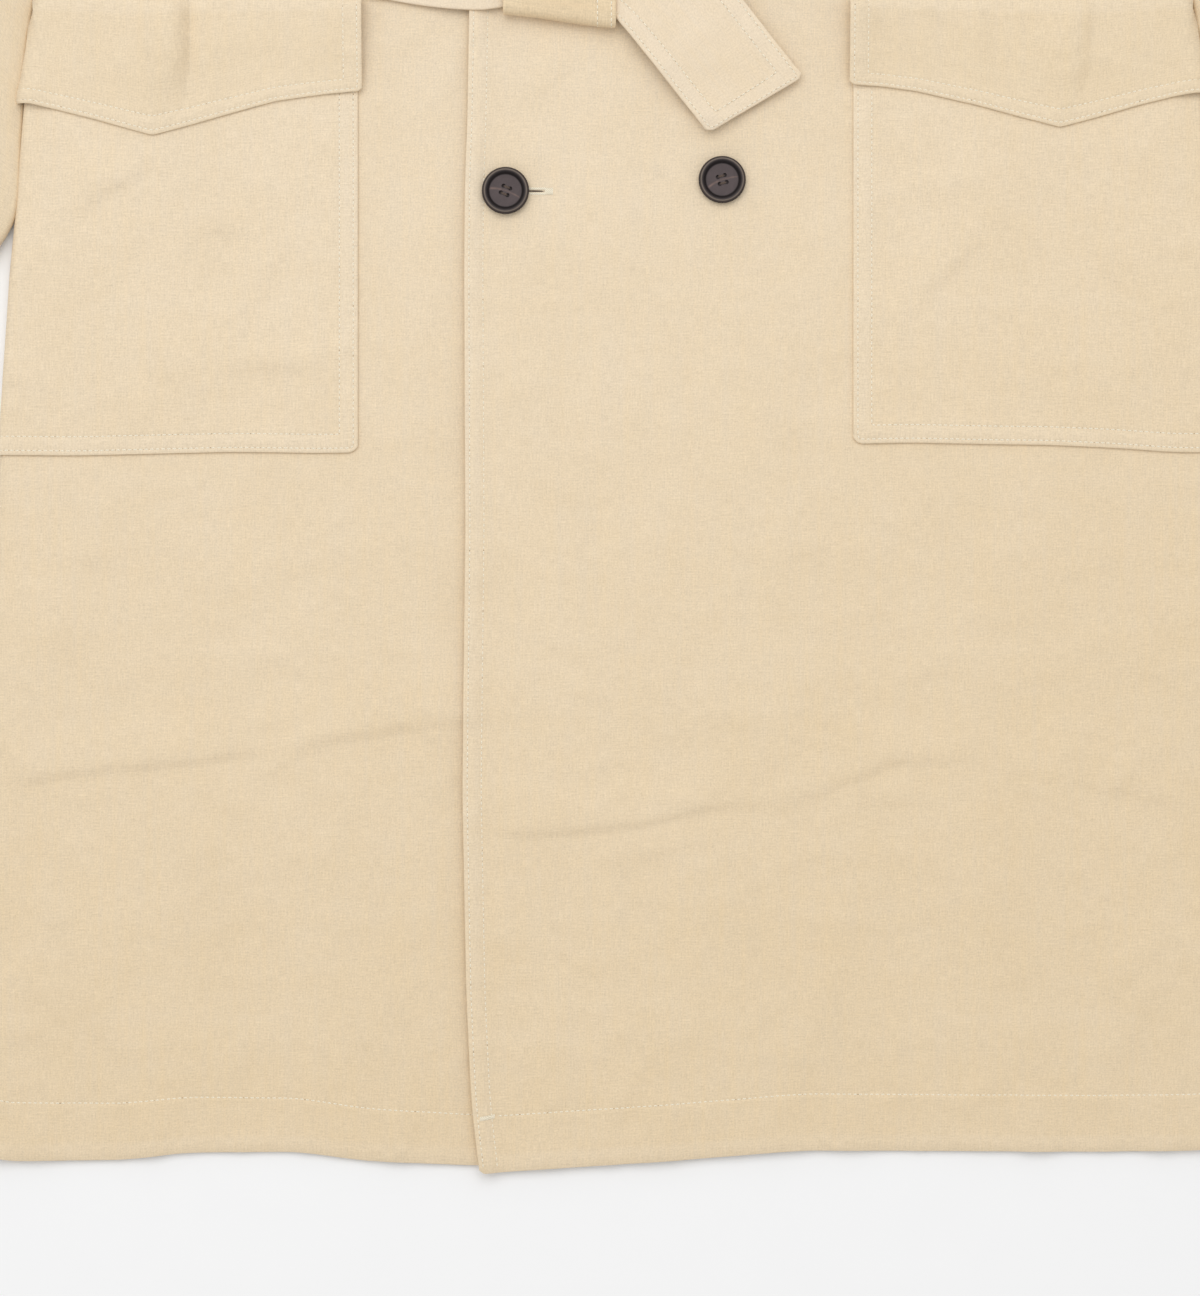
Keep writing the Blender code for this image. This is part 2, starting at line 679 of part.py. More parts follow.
# The button's outline, from its dished top's centre to its underside's: distance from the axis, and height
BUTTON_OUTLINE = [
    (0.0, 2.5), (7.4, 2.5), (9.2, 4.1), (11.2, 4.1), (12.3, 2.9), (11.8, 0.8), (9.5, 0.0), (0.0, 0.0),
]


def add_button(place, finish):
    bm = bmesh.new()
    base = top_height(1, place.x, place.up) + CLOTH / 2 + GAP
    centre = Vector((place.x, place.up - CENTRE_UP, base))
    outline = [bm.verts.new((centre + Vector((radius, 0, height))) * MM) for radius, height in BUTTON_OUTLINE]
    edges = [bm.edges.new(pair) for pair in zip(outline, outline[1:])]
    bmesh.ops.spin(
        bm, geom=outline + edges, cent=centre * MM, axis=(0, 0, 1), angle=2 * pi, steps=BUTTON_SIDES,
        use_merge=True, use_duplicate=False,
    )
    bmesh.ops.remove_doubles(bm, verts=bm.verts[:], dist=1e-6)
    bmesh.ops.recalc_face_normals(bm, faces=bm.faces[:])
    made = add_object(place.name, bm, finish)
    made.data.set_sharp_from_angle(angle=BUTTON_CREASE)
    return made


def clear_scene():
    for old in list(bpy.data.objects):
        bpy.data.objects.remove(old, do_unlink=True)


def build_coat():
    clear_scene()
    cloth = material("coat cloth", COAT_COLOUR, 0.85)
    horn = material("button", BUTTON_COLOUR, 0.35)
    add_back(cloth)
    add_collar(cloth)
    for word, side in (("right", -1), ("left", 1)):
        add_front("front_" + word, side, cloth)
        add_lapel("lapel_" + word, side, cloth)
        add_sleeve("sleeve_" + word, side, cloth)
        add_pocket("pocket_" + word, side, cloth)
        add_flap("pocket_flap_" + word, side, cloth)
    add_belt(cloth)
    add_knot(cloth)
    add_tail("belt_tail_lower", LOWER_TAIL, cloth)
    add_tail("belt_tail_upper", UPPER_TAIL, cloth)
    for place in BUTTONS:
        add_button(place, horn)


build_coat()
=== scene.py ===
"""The looks of a belted, double-breasted trench coat that is buttoned and laid flat on its back.

X runs across the coat towards the wearer's left, Y runs up it from hem to collar, and Z is up. Sizes are
in millimetres, and MM turns them into metres. "Up" is a height above the hem, and "across" is a distance
from the centre line along the cloth, which past the side fold goes on beneath the coat.
"""

from collections import namedtuple
from functools import cache, partial
from math import cos, hypot, pi, radians, sin, sqrt
from random import Random

import bmesh
import bpy
from mathutils import Matrix, Vector, noise


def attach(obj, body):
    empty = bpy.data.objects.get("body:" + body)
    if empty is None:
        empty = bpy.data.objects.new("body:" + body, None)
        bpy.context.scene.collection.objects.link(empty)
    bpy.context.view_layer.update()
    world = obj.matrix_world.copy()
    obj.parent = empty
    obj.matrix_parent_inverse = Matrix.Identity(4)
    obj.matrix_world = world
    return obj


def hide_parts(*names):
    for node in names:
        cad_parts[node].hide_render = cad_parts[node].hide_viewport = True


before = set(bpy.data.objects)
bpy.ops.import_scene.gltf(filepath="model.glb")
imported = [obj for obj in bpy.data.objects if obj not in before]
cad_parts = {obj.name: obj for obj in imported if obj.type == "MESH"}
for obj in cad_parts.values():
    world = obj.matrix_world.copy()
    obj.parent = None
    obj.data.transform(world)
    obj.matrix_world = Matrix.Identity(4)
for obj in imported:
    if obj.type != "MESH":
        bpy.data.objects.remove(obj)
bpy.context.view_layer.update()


# ---- Studio ----
# A wide pale floor under the coat, a bright even surround, and one broad lamp beyond the collar, so that
# shadows are soft and fall towards the hem. The camera hangs straight above the lower half of the fronts.

MM = 0.001
CENTRE_UP = 561.2
VIEW_X, VIEW_UP, VIEW_HEIGHT = -6.8, 268.8, 673.9
CAMERA_HEIGHT = 1900.0
CLOTH_TOP = 6.0
SENSOR = 36.0
FLOOR_SIZE = 8000.0
FLOOR_BELOW = 0.4
SPECKLE_SCALE = 30.0
SURROUND = 0.73
LAMP_WATTS = 33.0
LAMP_PLACE = Vector((-0.35, 1.1, 2.4))
LAMP_SIZE = (3.0, 2.0)


def tint(red, green, blue):
    """A colour from the 0 to 255 values that a screen shows."""
    shares = [value / 255 for value in (red, green, blue)]
    return tuple(s / 12.92 if s <= 0.04045 else ((s + 0.055) / 1.055) ** 2.4 for s in shares) + (1.0,)


def in_frame(x, up, z):
    """A place on the coat as a point of the shared frame, in metres."""
    return Vector((x, up - CENTRE_UP, z)) * MM


def add_node(tree, kind, inputs=(), **settings):
    """A shader node, with its settings, and its inputs as values or as sockets to link."""
    made = tree.nodes.new("ShaderNode" + kind)
    for name, value in settings.items():
        setattr(made, name, value)
    for key, value in inputs.items() if isinstance(inputs, dict) else enumerate(inputs):
        if isinstance(value, bpy.types.NodeSocket):
            tree.links.new(value, made.inputs[key])
        else:
            made.inputs[key].default_value = value
    return made


def maths(tree, operation, *values, clamp=False):
    return add_node(tree, "Math", values, operation=operation, use_clamp=clamp).outputs[0]


def add_material(name):
    made = bpy.data.materials.new(name)
    made.use_nodes = True
    return made, made.node_tree, made.node_tree.nodes["Principled BSDF"]


def add_mesh(name, bm, finish):
    """An object at the origin, from a bmesh whose place is in its points."""
    mesh = bpy.data.meshes.new(name)
    bm.to_mesh(mesh)
    bm.free()
    mesh.shade_smooth()
    mesh.materials.append(finish)
    made = bpy.data.objects.new(name, mesh)
    bpy.context.scene.collection.objects.link(made)
    return made


FLOOR_TINT = tint(245, 245, 245)
FLOOR_TINT_PALER = tint(247, 247, 247)

floor_finish, tree, shader = add_material("pale_floor")
speckle = add_node(tree, "TexNoise", {"Scale": SPECKLE_SCALE, "Detail": 3.0})
tree.links.new(add_node(tree, "TexCoord").outputs["Object"], speckle.inputs["Vector"])
shade = add_node(tree, "Mix", {0: speckle.outputs[0], 6: FLOOR_TINT, 7: FLOOR_TINT_PALER}, data_type="RGBA")
tree.links.new(shade.outputs[2], shader.inputs["Base Color"])
shader.inputs["Roughness"].default_value = 0.9
shader.inputs["Specular IOR Level"].default_value = 0.1

bm = bmesh.new()
bmesh.ops.create_grid(bm, x_segments=8, y_segments=8, size=FLOOR_SIZE / 2 * MM,
                      matrix=Matrix.Translation((0, 0, -FLOOR_BELOW * MM)))
add_mesh("floor", bm, floor_finish)

world = bpy.data.worlds.new("studio")
world.use_nodes = True
world.node_tree.nodes["Background"].inputs["Color"].default_value = (1.0, 1.0, 1.0, 1.0)
world.node_tree.nodes["Background"].inputs["Strength"].default_value = SURROUND
bpy.context.scene.world = world

lamp = bpy.data.lights.new("broad_lamp", "AREA")
lamp.shape = "RECTANGLE"
lamp.size, lamp.size_y = LAMP_SIZE
lamp.energy = LAMP_WATTS
lamp_object = bpy.data.objects.new("broad_lamp", lamp)
lamp_object.location = LAMP_PLACE
lamp_object.rotation_euler = (-LAMP_PLACE).to_track_quat("-Z", "Y").to_euler()
bpy.context.scene.collection.objects.link(lamp_object)

lens = bpy.data.cameras.new("overhead")
lens.sensor_width = SENSOR
lens.lens = SENSOR * CAMERA_HEIGHT / VIEW_HEIGHT
camera = bpy.data.objects.new("overhead", lens)
camera.location = in_frame(VIEW_X, VIEW_UP, CAMERA_HEIGHT + CLOTH_TOP)
bpy.context.scene.collection.objects.link(camera)
bpy.context.scene.camera = camera
bpy.context.scene.view_settings.view_transform = "Standard"


# ---- The lying coat ----
# Two fronts are buttoned over a back. Each front goes round the coat's side in a soft fold and on beneath,
# to a side seam, and what lies under the coat there lifts all that is above it. The cloth has been packed
# folded, so it keeps two long creases across the skirt, and dents and soft ridges all over.

CLOTH = 1.2
BELT_CLOTH = 2.0
GAP = 0.3
LAYER = CLOTH + GAP
BELT_LAYER = BELT_CLOTH + GAP
BELT_ON_CLOTH = CLOTH / 2 + GAP + BELT_CLOTH / 2

SHOULDER_NECK_UP = 1090.0
SHOULDER_TIP_UP = 1045.0
ARMPIT_UP = 812.0
BREAK_UP = 885.0
BACK_NECK_UP = 1072.0
NECK_HALF = 85.0
OVERLAP = 77.0
ROLL_TOP = 80.0
HEM_RISE_FADES = 80.0
BACK_HEM_SHORTER = 2.0

TUCK = 48.0
TUCK_NARROWS_UP = 640.0
TUCK_LEAST = 1.0
PUFF = 2.8
PUFF_REACH = 70.0
PUFF_FADES_UP = 985.0
FOLD_RADIUS = (LAYER + PUFF) / 2
FOLD_OPENS_UP = 805.0
FOLD_OPEN_UP = 835.0
BACK_WIDENS_UP = 860.0
LIFT_FULL = 56.0
LIFT_ENDS = 130.0

STEP_MARGIN = 6.0
STEP_LENGTH = 30.0
STEP_MARGIN_ROLL = 48.0
ROLL_LINE_STARTS = 15.0
SOFTENING = 8.0

Row = namedtuple("Row", "at value")
HALF_WIDTH = [
    Row(0, 344.0), Row(400, 316.7), Row(463, 312.6), Row(494, 309.5), Row(538, 305.8), Row(582, 302.5),
    Row(606, 299.0), Row(658, 293.0), Row(750, 297.0), Row(812, 300.0), Row(835, 289.0), Row(860, 279.0),
    Row(885, 271.0), Row(930, 260.0), Row(985, 250.0), Row(1030, 243.0), Row(1090, 235.0),
]
LEFT_FRONT_EDGE = [
    Row(0, -69.2), Row(23, -72.3), Row(38, -73.8), Row(88, -76.3), Row(193, -78.3), Row(330, -76.8),
    Row(470, -77.4), Row(510, -77.0), Row(542, -75.8), Row(606, -74.6), Row(885, -77.0),
]
RIGHT_HEM = [
    Row(-344, 12.0), Row(-318, 1.6), Row(-255, 2.1), Row(-223, 5.9), Row(-164, 6.4), Row(-130, 1.7),
    Row(-70, -0.9), Row(-40, 0.5), Row(29, 5.0), Row(77, 9.0),
]
LEFT_HEM = [
    Row(-69, -4.8), Row(-40, -2.9), Row(29, 1.6), Row(97, 7.1), Row(252, 6.4), Row(305, 7.1), Row(344, 12.0),
]
SIDE_LIFT = [
    Row(330, 0.0), Row(362, LAYER), Row(500, LAYER), Row(530, 2 * LAYER), Row(610, 2 * LAYER),
    Row(626, BELT_LAYER), Row(690, BELT_LAYER), Row(735, 0.0),
]
MIDDLE_LIFT = [Row(530, 0.0), Row(626, BELT_LAYER), Row(690, BELT_LAYER), Row(735, 0.0)]

# A crease: how high it stands, how far it spreads to the left and to the right of its path, and the path.
# Its steep side ends in a sharp foot, the other runs out softly, and it fades towards both ends.
Crease = namedtuple("Crease", "height left right path")
CREASE_FADES = 45.0
CREASES = [
    Crease(1.1, 26, 5, ((-330, 199), (-293, 205), (-262, 209), (-225, 212), (-184, 218), (-163, 222))),
    Crease(1.2, 30, 8, ((-186, 216), (-163, 222), (-147, 227), (-111, 233), (-60, 237), (-44, 238))),
    Crease(0.55, 16, 5, ((-200, 190), (-189, 198), (-176, 208), (-163, 216), (-140, 227))),
    Crease(0.4, 12, 7, ((-196, 226), (-186, 229), (-158, 238))),
    Crease(0.5, 8, 20, ((-135, 236), (-119, 224), (-95, 203), (-75, 186))),
    Crease(1.3, 28, 5, ((-76, 175), (-51, 176), (-28, 176), (14, 180), (45, 188), (63, 190), (84, 187))),
    Crease(0.6, 14, 5, ((-14, 158), (-2, 161), (24, 165), (56, 173), (70, 178))),
    Crease(0.85, 26, 6, ((66, 180), (82, 186), (113, 200), (144, 213), (180, 214), (205, 210))),
    Crease(0.55, 24, 7, ((170, 214), (180, 214), (232, 205), (269, 198), (320, 186))),
    Crease(0.4, 16, 9, ((40, 229), (53, 231), (82, 234), (100, 236))),
    Crease(0.4, 9, 16, ((106, 236), (115, 234), (136, 226), (150, 214))),
    Crease(0.55, 20, 8, ((225, 276), (243, 273), (269, 268), (287, 257), (310, 238))),
    Crease(0.35, 18, 9, ((160, 288), (175, 289), (222, 291), (240, 290))),
    Crease(0.65, 10, 26, ((128, 162), (123, 148), (115, 107), (108, 60), (104, 30))),
    Crease(0.35, 16, 8, ((130, 154), (139, 148), (160, 130), (172, 118))),
    Crease(0.35, 30, 12, ((217, 172), (219, 120), (219, 34))),
    Crease(0.6, 9, 24, ((298, 116), (287, 101), (264, 65), (244, 30))),
    Crease(0.5, 8, 16, ((284, 130), (292, 122), (318, 92))),
    Crease(0.5, 14, 7, ((-318, 148), (-308, 143), (-290, 130), (-276, 116))),
    Crease(0.6, 18, 7, ((-310, 114), (-303, 101), (-282, 73), (-274, 58))),
    Crease(0.65, 20, 7, ((-290, 106), (-280, 91), (-249, 49), (-238, 30))),
    Crease(0.75, 18, 8, ((-141, 114), (-137, 101), (-124, 65), (-110, 22))),
    Crease(0.45, 20, 12, ((-226, 150), (-228, 138), (-233, 107), (-236, 90))),
    Crease(0.7, 10, 24, ((-255, 366), (-262, 351), (-272, 325), (-288, 294), (-308, 238))),
    Crease(0.45, 18, 8, ((-214, 318), (-202, 307), (-184, 291), (-163, 270), (-152, 252))),
    Crease(1.3, 8, 26, ((-236, 528), (-251, 520), (-272, 507), (-296, 484))),
    Crease(0.9, 8, 18, ((-166, 496), (-173, 484), (-194, 447), (-200, 430))),
    Crease(0.9, 18, 7, ((-228, 494), (-215, 490), (-196, 488), (-176, 494))),
    Crease(0.9, 20, 9, ((-246, 446), (-241, 434), (-225, 413), (-222, 376))),
    Crease(0.9, 14, 8, ((-212, 416), (-202, 419), (-142, 421), (-132, 420))),
    Crease(0.6, 9, 18, ((-238, 412), (-243, 403), (-251, 382), (-258, 372))),
    Crease(0.7, 10, 24, ((-235, 680), (-232, 640), (-232, 606), (-232, 575), (-236, 525))),
    Crease(0.6, 16, 16, ((-272, 640), (-272, 600), (-274, 560))),
    Crease(0.6, 10, 26, ((242, 670), (241, 640), (240, 595), (238, 575), (226, 530))),
    Crease(0.45, 16, 9, ((118, 594), (131, 596), (165, 601), (190, 603))),
    Crease(1.1, 9, 20, ((208, 510), (201, 502), (183, 484), (154, 450), (142, 430))),
    Crease(0.5, 10, 14, ((138, 503), (149, 507), (180, 512), (206, 520), (220, 526))),
    Crease(0.5, 12, 8, ((256, 540), (264, 533), (271, 523), (276, 500))),
    Crease(0.35, 12, 8, ((120, 454), (128, 452), (147, 445), (160, 438))),
    # Ripples that run up from the hem
    Crease(1.15, 15, 12, ((-241, -30), (-240, 10), (-236, 52))),
    Crease(1.05, 16, 10, ((-113, -30), (-112, 10), (-108, 48))),
    Crease(0.6, 14, 18, ((19, -30), (22, 12), (30, 46))),
    Crease(1.15, 12, 16, ((222, -30), (221, 12), (215, 50))),
    Crease(0.6, 12, 14, ((285, -30), (283, 10), (276, 60))),
    Crease(0.5, 16, 16, ((120, -30), (121, 10), (122, 45))),
    Crease(0.6, 14, 12, ((-300, -30), (-298, 10), (-290, 50))),
    # The chest and shoulders, and what the belt gathers
    Crease(0.9, 12, 22, ((-250, 700), (-215, 740), (-160, 792), (-120, 850))),
    Crease(0.8, 20, 10, ((262, 690), (216, 748), (150, 806), (120, 830))),
    Crease(0.8, 10, 26, ((-292, 806), (-240, 850), (-190, 876), (-130, 884))),
    Crease(0.9, 26, 9, ((288, 800), (232, 858), (170, 902), (132, 940))),
    Crease(0.6, 18, 10, ((70, 700), (120, 716), (190, 712), (250, 728))),
    Crease(0.7, 9, 20, ((-90, 690), (-92, 740), (-104, 800))),
    Crease(0.7, 20, 9, ((96, 690), (104, 750), (96, 812))),
    Crease(0.8, 10, 22, ((-240, 900), (-196, 950), (-170, 1010), (-166, 1060))),
    Crease(0.7, 22, 10, ((236, 905), (204, 962), (188, 1020), (186, 1066))),
    Crease(0.6, 12, 12, ((-170, 690), (-176, 720), (-168, 762))),
    Crease(0.6, 12, 12, ((180, 690), (184, 722), (196, 760))),
]
CREASE_SHARE_BENEATH = 0.35
PRESSED_IN = 1.7
FAINT_CREASES, FAINT_SEED, FAINT_TURNED_SHARE = 150, 11, 0.3
FAINT_ACROSS, FAINT_UP, FAINT_SLANT = (-335, 335), (15, 1000), (0.1, 0.75)
FAINT_HALF_LENGTH, FAINT_BEND = (12, 34), (-5, 5)
FAINT_STEEP, FAINT_GENTLE, FAINT_HEIGHT = (4, 7), (9, 24), (0.25, 0.65)
CRUMPLE, CRUMPLE_SIZE, CRUMPLE_SEED = 1.0, 32.0, 13.0
CRUMPLE_RIDGE, CRUMPLE_FALL = 0.6, 3
SWELL, SWELL_SIZE, SWELL_SEED = 0.45, 64.0, 4.0
DENT, DENT_SIZE, DENT_SEED = 0.22, 23.0, 9.0


def read(table, at):
    """The table's value at a place, in a straight line between its rows."""
    if at <= table[0].at:
        return table[0].value
    for low, high in zip(table, table[1:]):
        if at <= high.at:
            return low.value + (high.value - low.value) * (at - low.at) / (high.at - low.at)
    return table[-1].value


def soft(table, at):
    """The table's value with its corners rounded off."""
    return sum(read(table, at + SOFTENING * part) for part in (-1.0, -0.5, 0.0, 0.5, 1.0)) / 5


def ramp(value, start, end):
    """0 before start, 1 past end, and straight between."""
    return min(1.0, max(0.0, (value - start) / (end - start)))


def smooth(share):
    """An even ramp from 0 to 1 with soft ends."""
    return share * share * (3 - 2 * share)


def fade(value, start, end):
    """1 before start, 0 past end, and an even fall with soft ends between."""
    return 1 - smooth(ramp(value, start, end))


def mix(first, second, share):
    return first + (second - first) * share


def noise_at(x, up, size, seed):
    """Smooth noise from -1 to 1, whose swells are about this size."""
    return noise.noise(Vector((x / size, up / size, seed)))


@cache
def half_width(up):
    return soft(HALF_WIDTH, up)


@cache
def lifts(up):
    """What lies under the coat lifts it: near its side, and in its middle."""
    return soft(SIDE_LIFT, up), soft(MIDDLE_LIFT, up)


def roll_line(up):
    """Where a front's lapel turns back, above the break."""
    return mix(-OVERLAP, ROLL_TOP, ramp(up, BREAK_UP, SHOULDER_NECK_UP))


@cache
def inner_edge(side, up):
    """A front's free edge, and above the break its roll line."""
    if up > BREAK_UP:
        return roll_line(up)
    return soft(LEFT_FRONT_EDGE, up) if side > 0 else -OVERLAP


@cache
def fold_turn(up):
    """How far the front turns round the side fold: half a turn below the armpit, none above it."""
    return pi * (1 - ramp(up, FOLD_OPENS_UP, FOLD_OPEN_UP))


@cache
def tuck(up):
    """How far the front runs on beneath the coat, from the fold to the side seam."""
    return mix(TUCK, TUCK_LEAST, ramp(up, TUCK_NARROWS_UP, FOLD_OPENS_UP))


@cache
def fold_start(up):
    """Where the front's top begins to turn down."""
    turn = fold_turn(up)
    reach = FOLD_RADIUS * sin(min(turn, pi / 2)) + tuck(up) * max(0.0, cos(turn))
    return half_width(up) - CLOTH / 2 - reach


def boxed(creases):
    """Each crease with the box that it stays inside: left, right, low and high."""
    made = []
    for crease in creases:
        across, ups = zip(*crease.path)
        reach = max(crease.left, crease.right)
        made.append((crease, min(across) - reach, max(across) + reach, min(ups) - reach, max(ups) + reach))
    return made


def crease_height(crease, x, up):
    """How high one crease stands at a place."""
    nearest, run = None, 0.0
    for (x1, up1), (x2, up2) in zip(crease.path, crease.path[1:]):
        dx, dup = x2 - x1, up2 - up1
        length = hypot(dx, dup)
        along = min(1.0, max(0.0, ((x - x1) * dx + (up - up1) * dup) / length**2))
        distance = hypot(x - x1 - along * dx, up - up1 - along * dup)
        if nearest is None or distance < nearest:
            to_left = dx * (up - up1) - dup * (x - x1) > 0
            nearest, reach = distance, crease.left if to_left else crease.right
            at = run + along * length
        run += length
    if nearest >= reach:
        return 0.0
    steep = reach < max(crease.left, crease.right)
    stands = 1 - (nearest / reach) ** 2 if steep else smooth(1 - nearest / reach)
    ends = min(1.0, min(at, run - at) / min(run / 2, CREASE_FADES))
    return crease.height * stands * smooth(ends)


def creases_at(creases, x, up):
    return sum(crease_height(crease, x, up) for crease, left, right, low, high in creases
               if left < x < right and low < up < high)


def faint_crease(chance):
    """One of the many faint creases, at a place and slant that chance gives."""
    x, up, slant = chance.uniform(*FAINT_ACROSS), chance.uniform(*FAINT_UP), chance.gauss(*FAINT_SLANT)
    length, bend = chance.uniform(*FAINT_HALF_LENGTH), chance.uniform(*FAINT_BEND)
    along, aside = (cos(slant) * length, sin(slant) * length), (-sin(slant) * bend, cos(slant) * bend)
    path = ((x - along[0], up - along[1]), (x + aside[0], up + aside[1]), (x + along[0], up + along[1]))
    steep, gentle = chance.uniform(*FAINT_STEEP), chance.uniform(*FAINT_GENTLE)
    if chance.random() < FAINT_TURNED_SHARE:
        steep, gentle = gentle, steep
    return Crease(chance.uniform(*FAINT_HEIGHT), gentle, steep, path)


chance = Random(FAINT_SEED)
COAT_CREASES = boxed(CREASES + [faint_crease(chance) for _ in range(FAINT_CREASES)])


def unevenness(x, up):
    """What creases, swells and dents add to the height of the lying coat."""
    swell = SWELL * (1 + noise_at(x, up, SWELL_SIZE, SWELL_SEED))
    dents = DENT * noise_at(x, up, DENT_SIZE, DENT_SEED)
    ridge = CRUMPLE_RIDGE - CRUMPLE_FALL * abs(noise_at(x, up, CRUMPLE_SIZE, CRUMPLE_SEED))
    return max(0.0, swell + dents + CRUMPLE * max(0.0, ridge) + PRESSED_IN * creases_at(COAT_CREASES, x, up))


def lift(x, up):
    """The height that the pieces lying under the coat add there."""
    side, middle = lifts(up)
    return mix(middle, side, fade(fold_start(up) - abs(x), LIFT_FULL, LIFT_ENDS))


def puff(across, up):
    """How far the top stands up off the back, near the side fold."""
    near = smooth(1 - ramp(fold_start(up) - across, 0, PUFF_REACH))
    return PUFF * near * (1 - ramp(up, PUFF_FADES_UP, SHOULDER_NECK_UP))


def step(across, up):
    """The left front's extra height where it lies on the right front."""
    right_front_edge = -inner_edge(-1, up)
    margin = mix(STEP_MARGIN, STEP_MARGIN_ROLL, ramp(up, BREAK_UP - ROLL_LINE_STARTS, BREAK_UP))
    return LAYER * fade(across - right_front_edge, margin, margin + STEP_LENGTH)


def hem_rise(side, x, up):
    """How far the hem's waviness moves a point up the coat."""
    if up >= HEM_RISE_FADES:
        return 0.0
    return soft(LEFT_HEM if side > 0 else RIGHT_HEM, x) * (1 - ramp(up, 0, HEM_RISE_FADES))


def top_height(side, across, up):
    """The middle of a front's wall, over the coat's top."""
    height = CLOTH / 2 + LAYER + lift(across, up) + puff(across, up) + unevenness(side * across, up)
    return height + step(across, up) if side > 0 else height


def skin(side, across, up, raised=0.0):
    """A point on a front, or raised off it along its normal: X and Z."""
    start = fold_start(up)
    if across <= start:
        return side * across, top_height(side, across, up) + raised
    uneven = unevenness(side * start, up)
    centre = top_height(side, start, up) - FOLD_RADIUS - uneven
    run = across - start
    angle = min(fold_turn(up), run / FOLD_RADIUS)
    past = run - angle * FOLD_RADIUS
    x = start + (FOLD_RADIUS + raised) * sin(angle) + past * cos(angle)
    z = centre + (FOLD_RADIUS + raised) * cos(angle) - past * sin(angle) + uneven * (1 + cos(angle)) / 2
    return side * x, z


def shoulder_up(x):
    """The top of a panel: the shoulder's slope, level from the neck's side inwards."""
    slope = (SHOULDER_TIP_UP - SHOULDER_NECK_UP) / (half_width(SHOULDER_NECK_UP) - NECK_HALF)
    return SHOULDER_NECK_UP + slope * max(0.0, abs(x) - NECK_HALF)


def to_top(level, top):
    """Squeezes the levels above the armpit, so that the top one follows the panel's top edge."""
    if level <= ARMPIT_UP:
        return level
    return ARMPIT_UP + (level - ARMPIT_UP) * (top - ARMPIT_UP) / (SHOULDER_NECK_UP - ARMPIT_UP)


# ---- Cotton cloth ----
# The shell is a firm, plain-woven beige cotton with slubs in both threads. It is paler where it is worn along
# its edges, and puckered between them and their rows of topstitching in cream thread.

COTTON = tint(234, 217, 191)
# The deeper, warmer tint: random warmth mixes towards it, and so does the painted falloff shade
COTTON_WARM_AND_SHADE = tint(226, 203, 166)
THREAD = tint(255, 245, 222)
# Painted shade in the needle holes, where the thread goes into the cloth at each stitch's end
NEEDLE_HOLE_SHADE = tint(192, 168, 136)
TWIST_EVERY, TWIST_SHADE = 0.5, 0.72
THREADS_EVERY = 0.62
WAVE_PER_SCALE = 20 / (2 * pi)
SLUB_WIDTH, SLUB_LENGTH = 0.7, 7.0
STREAK_WIDTH, STREAK_LENGTH = 3.0, 90.0
GRAIN_SIZE = 0.9
MOTTLE_SIZE = 48.0
PATCH_LENGTH, PATCH_WIDTH = 22.0, 9.0
WORN_EDGE = 1.3
PUCKER_BAND, PUCKER_BAND_ENDS = 10.5, 4.0
PUCKER_SIZE = 3.4
# How far each unevenness changes the cloth's tone, the share of its warm tint, and its relief
TONE = {"slubs": 0.2, "grain": 0.38, "streaks": 0.1, "mottle": -0.03}
EDGE_TONE = {"worn": 0.045, "band": 0.005}
# The warm tint's share everywhere, and how much more of it the painted falloff shade brings
WARMTH, FALLOFF_SHADE_SHARE = 0.25, 0.45
WARMTH_PARTS = {"mottle": 0.35, "patches": 0.3, "streaks": 0.55, "band": -0.15}
RELIEF_PARTS = {"grain": 0.5, "slubs": 0.7, "crumple": 8.0}
PUCKER_RELIEF = 4.0
ROUGHNESS, GRAIN_ROUGHNESS = 0.86, -0.25
# Painted shade: how fast the cloth turns darker and warmer towards the hem and the wearer's left, as the light
# falls off
FALLOFF_SHADE_DOWN, FALLOFF_SHADE_TO_LEFT = -1.9, 1.4


def add_up(tree, total, parts, weights, clamp=False):
    """The total with each named part added by its weight."""
    for name, weight in weights.items():
        last = name == list(weights)[-1]
        total = maths(tree, "MULTIPLY_ADD", parts[name], weight, total, clamp=clamp and last)
    return total


